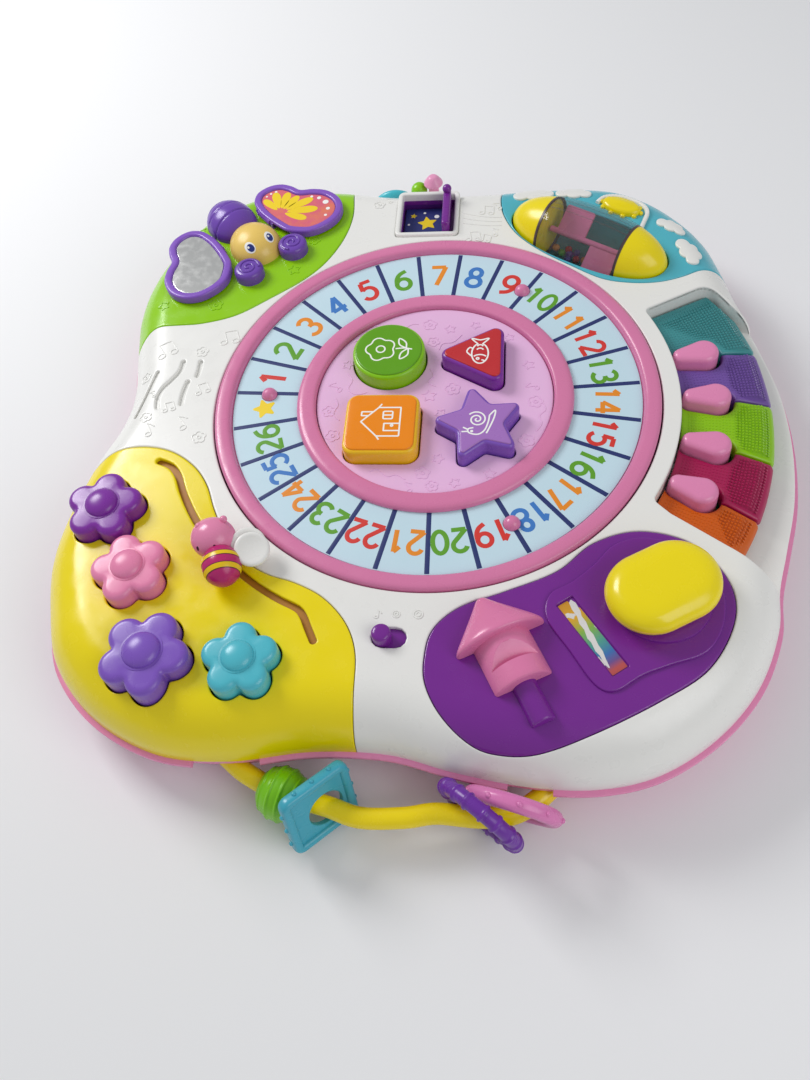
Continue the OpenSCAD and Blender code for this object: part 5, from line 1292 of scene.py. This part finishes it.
torn_off = np.array([(-23.2, 3.4), (-20, 4.5), (-14.5, 3.6), (-12, 2.4), (-8, 2.3), (-3, 0.9), (0, 1.1),
    (6, -0.4), (10, -0.6), (15, -2.2), (21, -3.5), (17, -4.2), (11, -3.4), (8, -3.8), (3, -2.6), (0, -2.9),
    (-5, -1.2), (-9, -1.3), (-13, 0.3), (-18, 0.5), (-22, 1.6)])
torn_paper = moulded("torn_paper", "DAD8D6", rough=0.7)
for name, ragged, material, top in (("rainbow_label", printed, rainbow, 64.45),
                                    ("torn_paper", torn_off, torn_paper, 64.6)):
    scrap = wound(flat_turn(rounded(ragged, 0.4, 4), label_turn, label_at))
    add_piece(name, [plate([scrap], [], top, 64.15, 0.05)], material, "table")
stadium = flat_turn(ribbon(np.linspace((-8, 0), (8, 0), 9), 23, 48), 29, knob_at)
knob_rows = curve_through([(10, 67.4), (7, 67.6), (4.4, 68.6), (1.7, 71.4), (0.25, 74.4), (0, 76.6),
    (0.55, 79.4), (2.4, 82.2), (5.6, 84.5), (9.4, 85.7), (13, 86.15)], 5)
knob_shell = filled(carry(stadium, knob_rows), knob_at, 67.4, 86.15, 0.25, 8)
add_piece("knob_yellow_shell", [knob_shell], cap_yellow, "knob", ["knob"])
seam = carry(stadium, [(0.3, 75.9), (-0.12, 75.95), (-0.12, 76.5), (0.3, 76.55)])
add_piece("knob_seam", [skin(seam, "joined")], moulded("seam_pale", "F0C060", rough=0.4), "knob")

# ---------- Bead bar ----------
# A wavy yellow bar on which four teethers hang. It is moulded in one piece and fixed in the case at both
# ends, which pass through the gaps in the pink lip.
bar_line = np.column_stack([curve_through(bar_points, 8), np.full(8 * (len(bar_points) - 1) + 1, 20.0)])
t_bar = np.gradient(bar_line, axis=0)
side = np.stack([t_bar[:, 1], -t_bar[:, 0], 0 * t_bar[:, 0]], 1) / np.linalg.norm(t_bar, axis=1)[:, None]
a = np.linspace(0, 2 * np.pi, 32, endpoint=False)[None, :, None]
bar = bar_line[:, None] + 5.7 * (np.cos(a) * side[:, None] + np.sin(a) * np.array([0, 0, 1.0]))
add_piece("yellow_bead_bar", [skin(bar)], moulded("bar_yellow", "F2D800", rough=0.24), "table",
          ["bead_bar"])

# ---------- Green ball ----------
# A hollow ball with flat ends and four thin ribs, moulded in green plastic. It is threaded on the bar and
# slides along it.
ball_at, ball_axis = np.array([-71.4, -239.3, 19.6]), (*polar(1, -18.5), 0)
z = np.linspace(-11.6, 11.6, 59)
r = np.sqrt(14.7 ** 2 - z ** 2) + 0.7 * sum(np.exp(-(np.abs(z - rib) / 0.75) ** 4) for rib in (-9, -3, 3, 9))
ball_line = np.concatenate([[(7.8, -11.9), (r[0] - 0.8, -11.9)], np.stack([r, z], 1),
                            [(r[-1] - 0.8, 11.9), (7.8, 11.9)]])
add_piece("green_ribbed_ball", [spun(ball_line, ball_at, ball_axis, 96, "joined")],
          moulded("bead_green", "7CC90A"), "ball",
          ["bead_ball"], 60)

# ---------- Square teether ----------
# A soft-cornered turquoise square: a thick round-edged frame with small bumps on its rim round a thin web
# with a hole for the bar.
square_place = (Matrix.Translation((-49.5, -246.4, 24.4)) @ Matrix.Rotation(np.radians(48), 4, "Z")
                @ Matrix.Rotation(np.radians(72), 4, "X") @ Matrix.Rotation(np.radians(-12), 4, "Z"))


def by_matrix(matrix):
    """A function that carries points by a matrix: its turning part times the point, plus its shift."""
    m = np.array(matrix)
    return lambda p: p @ m[:3, :3].T + m[:3, 3]


square_loop, web_hole = box_loop(-21, 21, -21, 21, 5.5), (2.9, -2.7)
phi = np.linspace(0, 2 * np.pi, 28, endpoint=False)
frame_line = np.stack([2.75 - 2.75 * np.sign(np.cos(phi)) * np.abs(np.cos(phi)) ** 0.75,
                       3.5 * np.sign(np.sin(phi)) * np.abs(np.sin(phi)) ** 0.75], 1)
frame_part = skin(carry(square_loop, frame_line), "joined")
web = plate([inset(square_loop, 4.6)], [ring_of(10.6, 64, web_hole)], 1.5, -1.4, 0.6)
bump = round_side(1.35, 1.35, step=3)
bumps = [spun(bump, (*flat_turn([(20.9, y)], turn)[0], 0), (0, 0, 1), 20)
         for turn in (0, 90, 180, 270) for y in (-11, 0, 11)]
square_parts = [moved(part, by_matrix(square_place)) for part in (frame_part, web, *bumps)]
add_piece("teal_square_teether", square_parts, moulded("bead_teal", "3FA6BC"), "square",
          ["bead_square"])


# ---------- Ring teethers ----------
# A violet ring with pairs of raised collars and a pink ring with small round bumps round its outside. Both
# are moulded in plastic and hang loose on the bar.
def ring_place(at, turn, lean):
    """The matrix that turns a ring's axis from upright to level, leans it, turns it and moves it."""
    return (Matrix.Translation(at) @ Matrix.Rotation(np.radians(turn), 4,
                                                     "Z") @ Matrix.Rotation(np.radians(lean), 4, "Y")
            @ Matrix.Rotation(np.radians(90), 4, "Y"))


u = np.linspace(0, 2 * np.pi, 288, endpoint=False)[:, None]
v = np.linspace(0, 2 * np.pi, 28, endpoint=False)[None]
beat = np.degrees(u) % 45 - 22.5
tube = 4.1 + 0.8 * np.exp(-((np.abs(beat) - 10) / 2.1) ** 4)
ring_r = 22


def tube_ring(tube):
    """Tube round a circle of radius 22: ((22 + tube cos v) cos u, (22 + tube cos v) sin u, tube sin v)."""
    reach = ring_r + tube * np.cos(v)
    return skin(np.stack([reach * np.cos(u), reach * np.sin(u), tube * np.sin(v) + 0 * u], 2), "joined")


place = by_matrix(ring_place((35.1, -247.8, 28.2), 53.3, -7.1))
add_piece("violet_collared_ring", [moved(tube_ring(tube), place)], moulded("bead_violet", "6B2C9C"),
          "ring_violet", ["ring_violet"], 60)
groove = 4.4 - 0.3 * np.exp(-((v - np.pi) / 0.12) ** 2) - 0.25 * np.exp(-((v - 0.02) / 0.1) ** 2)
place = by_matrix(ring_place((51.6, -242.4, 27), 75.4, -10.8))
bumps = [spun(1.15 * bump, (26 * np.cos(a), 26.1 * np.sin(a), 0), (0, 0, 1), 20)
         for a in np.radians(np.arange(10) * 36 + 10)]
add_piece("pink_bumped_ring", [moved(part, place) for part in (tube_ring(groove), *bumps)],
          moulded("bead_pink", "DB7CB5"), "ring_pink", ["ring_pink"], 60)

# ---------- Parts inside and underneath ----------
# The tray under the dial, boards, pads and speaker in the case, the battery door and the case screws keep
# their own solids and get their finishes here.
board_green = moulded("board_green", "1D6B3A", rough=0.5, peel=0.1)
pad_grey = moulded("pad_rubber", "9A9A9A", rough=0.7)
cone_black = moulded("speaker_black", "1C1C1E", rough=0.6)
steel = moulded("screw_steel", "8E8E92", rough=0.3)
set_inputs(steel.node_tree.nodes["Principled BSDF"], Metallic=1.0)
tray_grey = moulded("tray_grey", "CFCFCF", rough=0.5)
kept = {"dial_tray": tray_grey, "window_well": indigo, "circuit_boards": board_green,
        "contact_pads": pad_grey, "speaker": cone_black, "battery_door": pink_rim, "screws": steel}
for node, material in kept.items():
    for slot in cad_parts[node].material_slots:
        slot.material = material
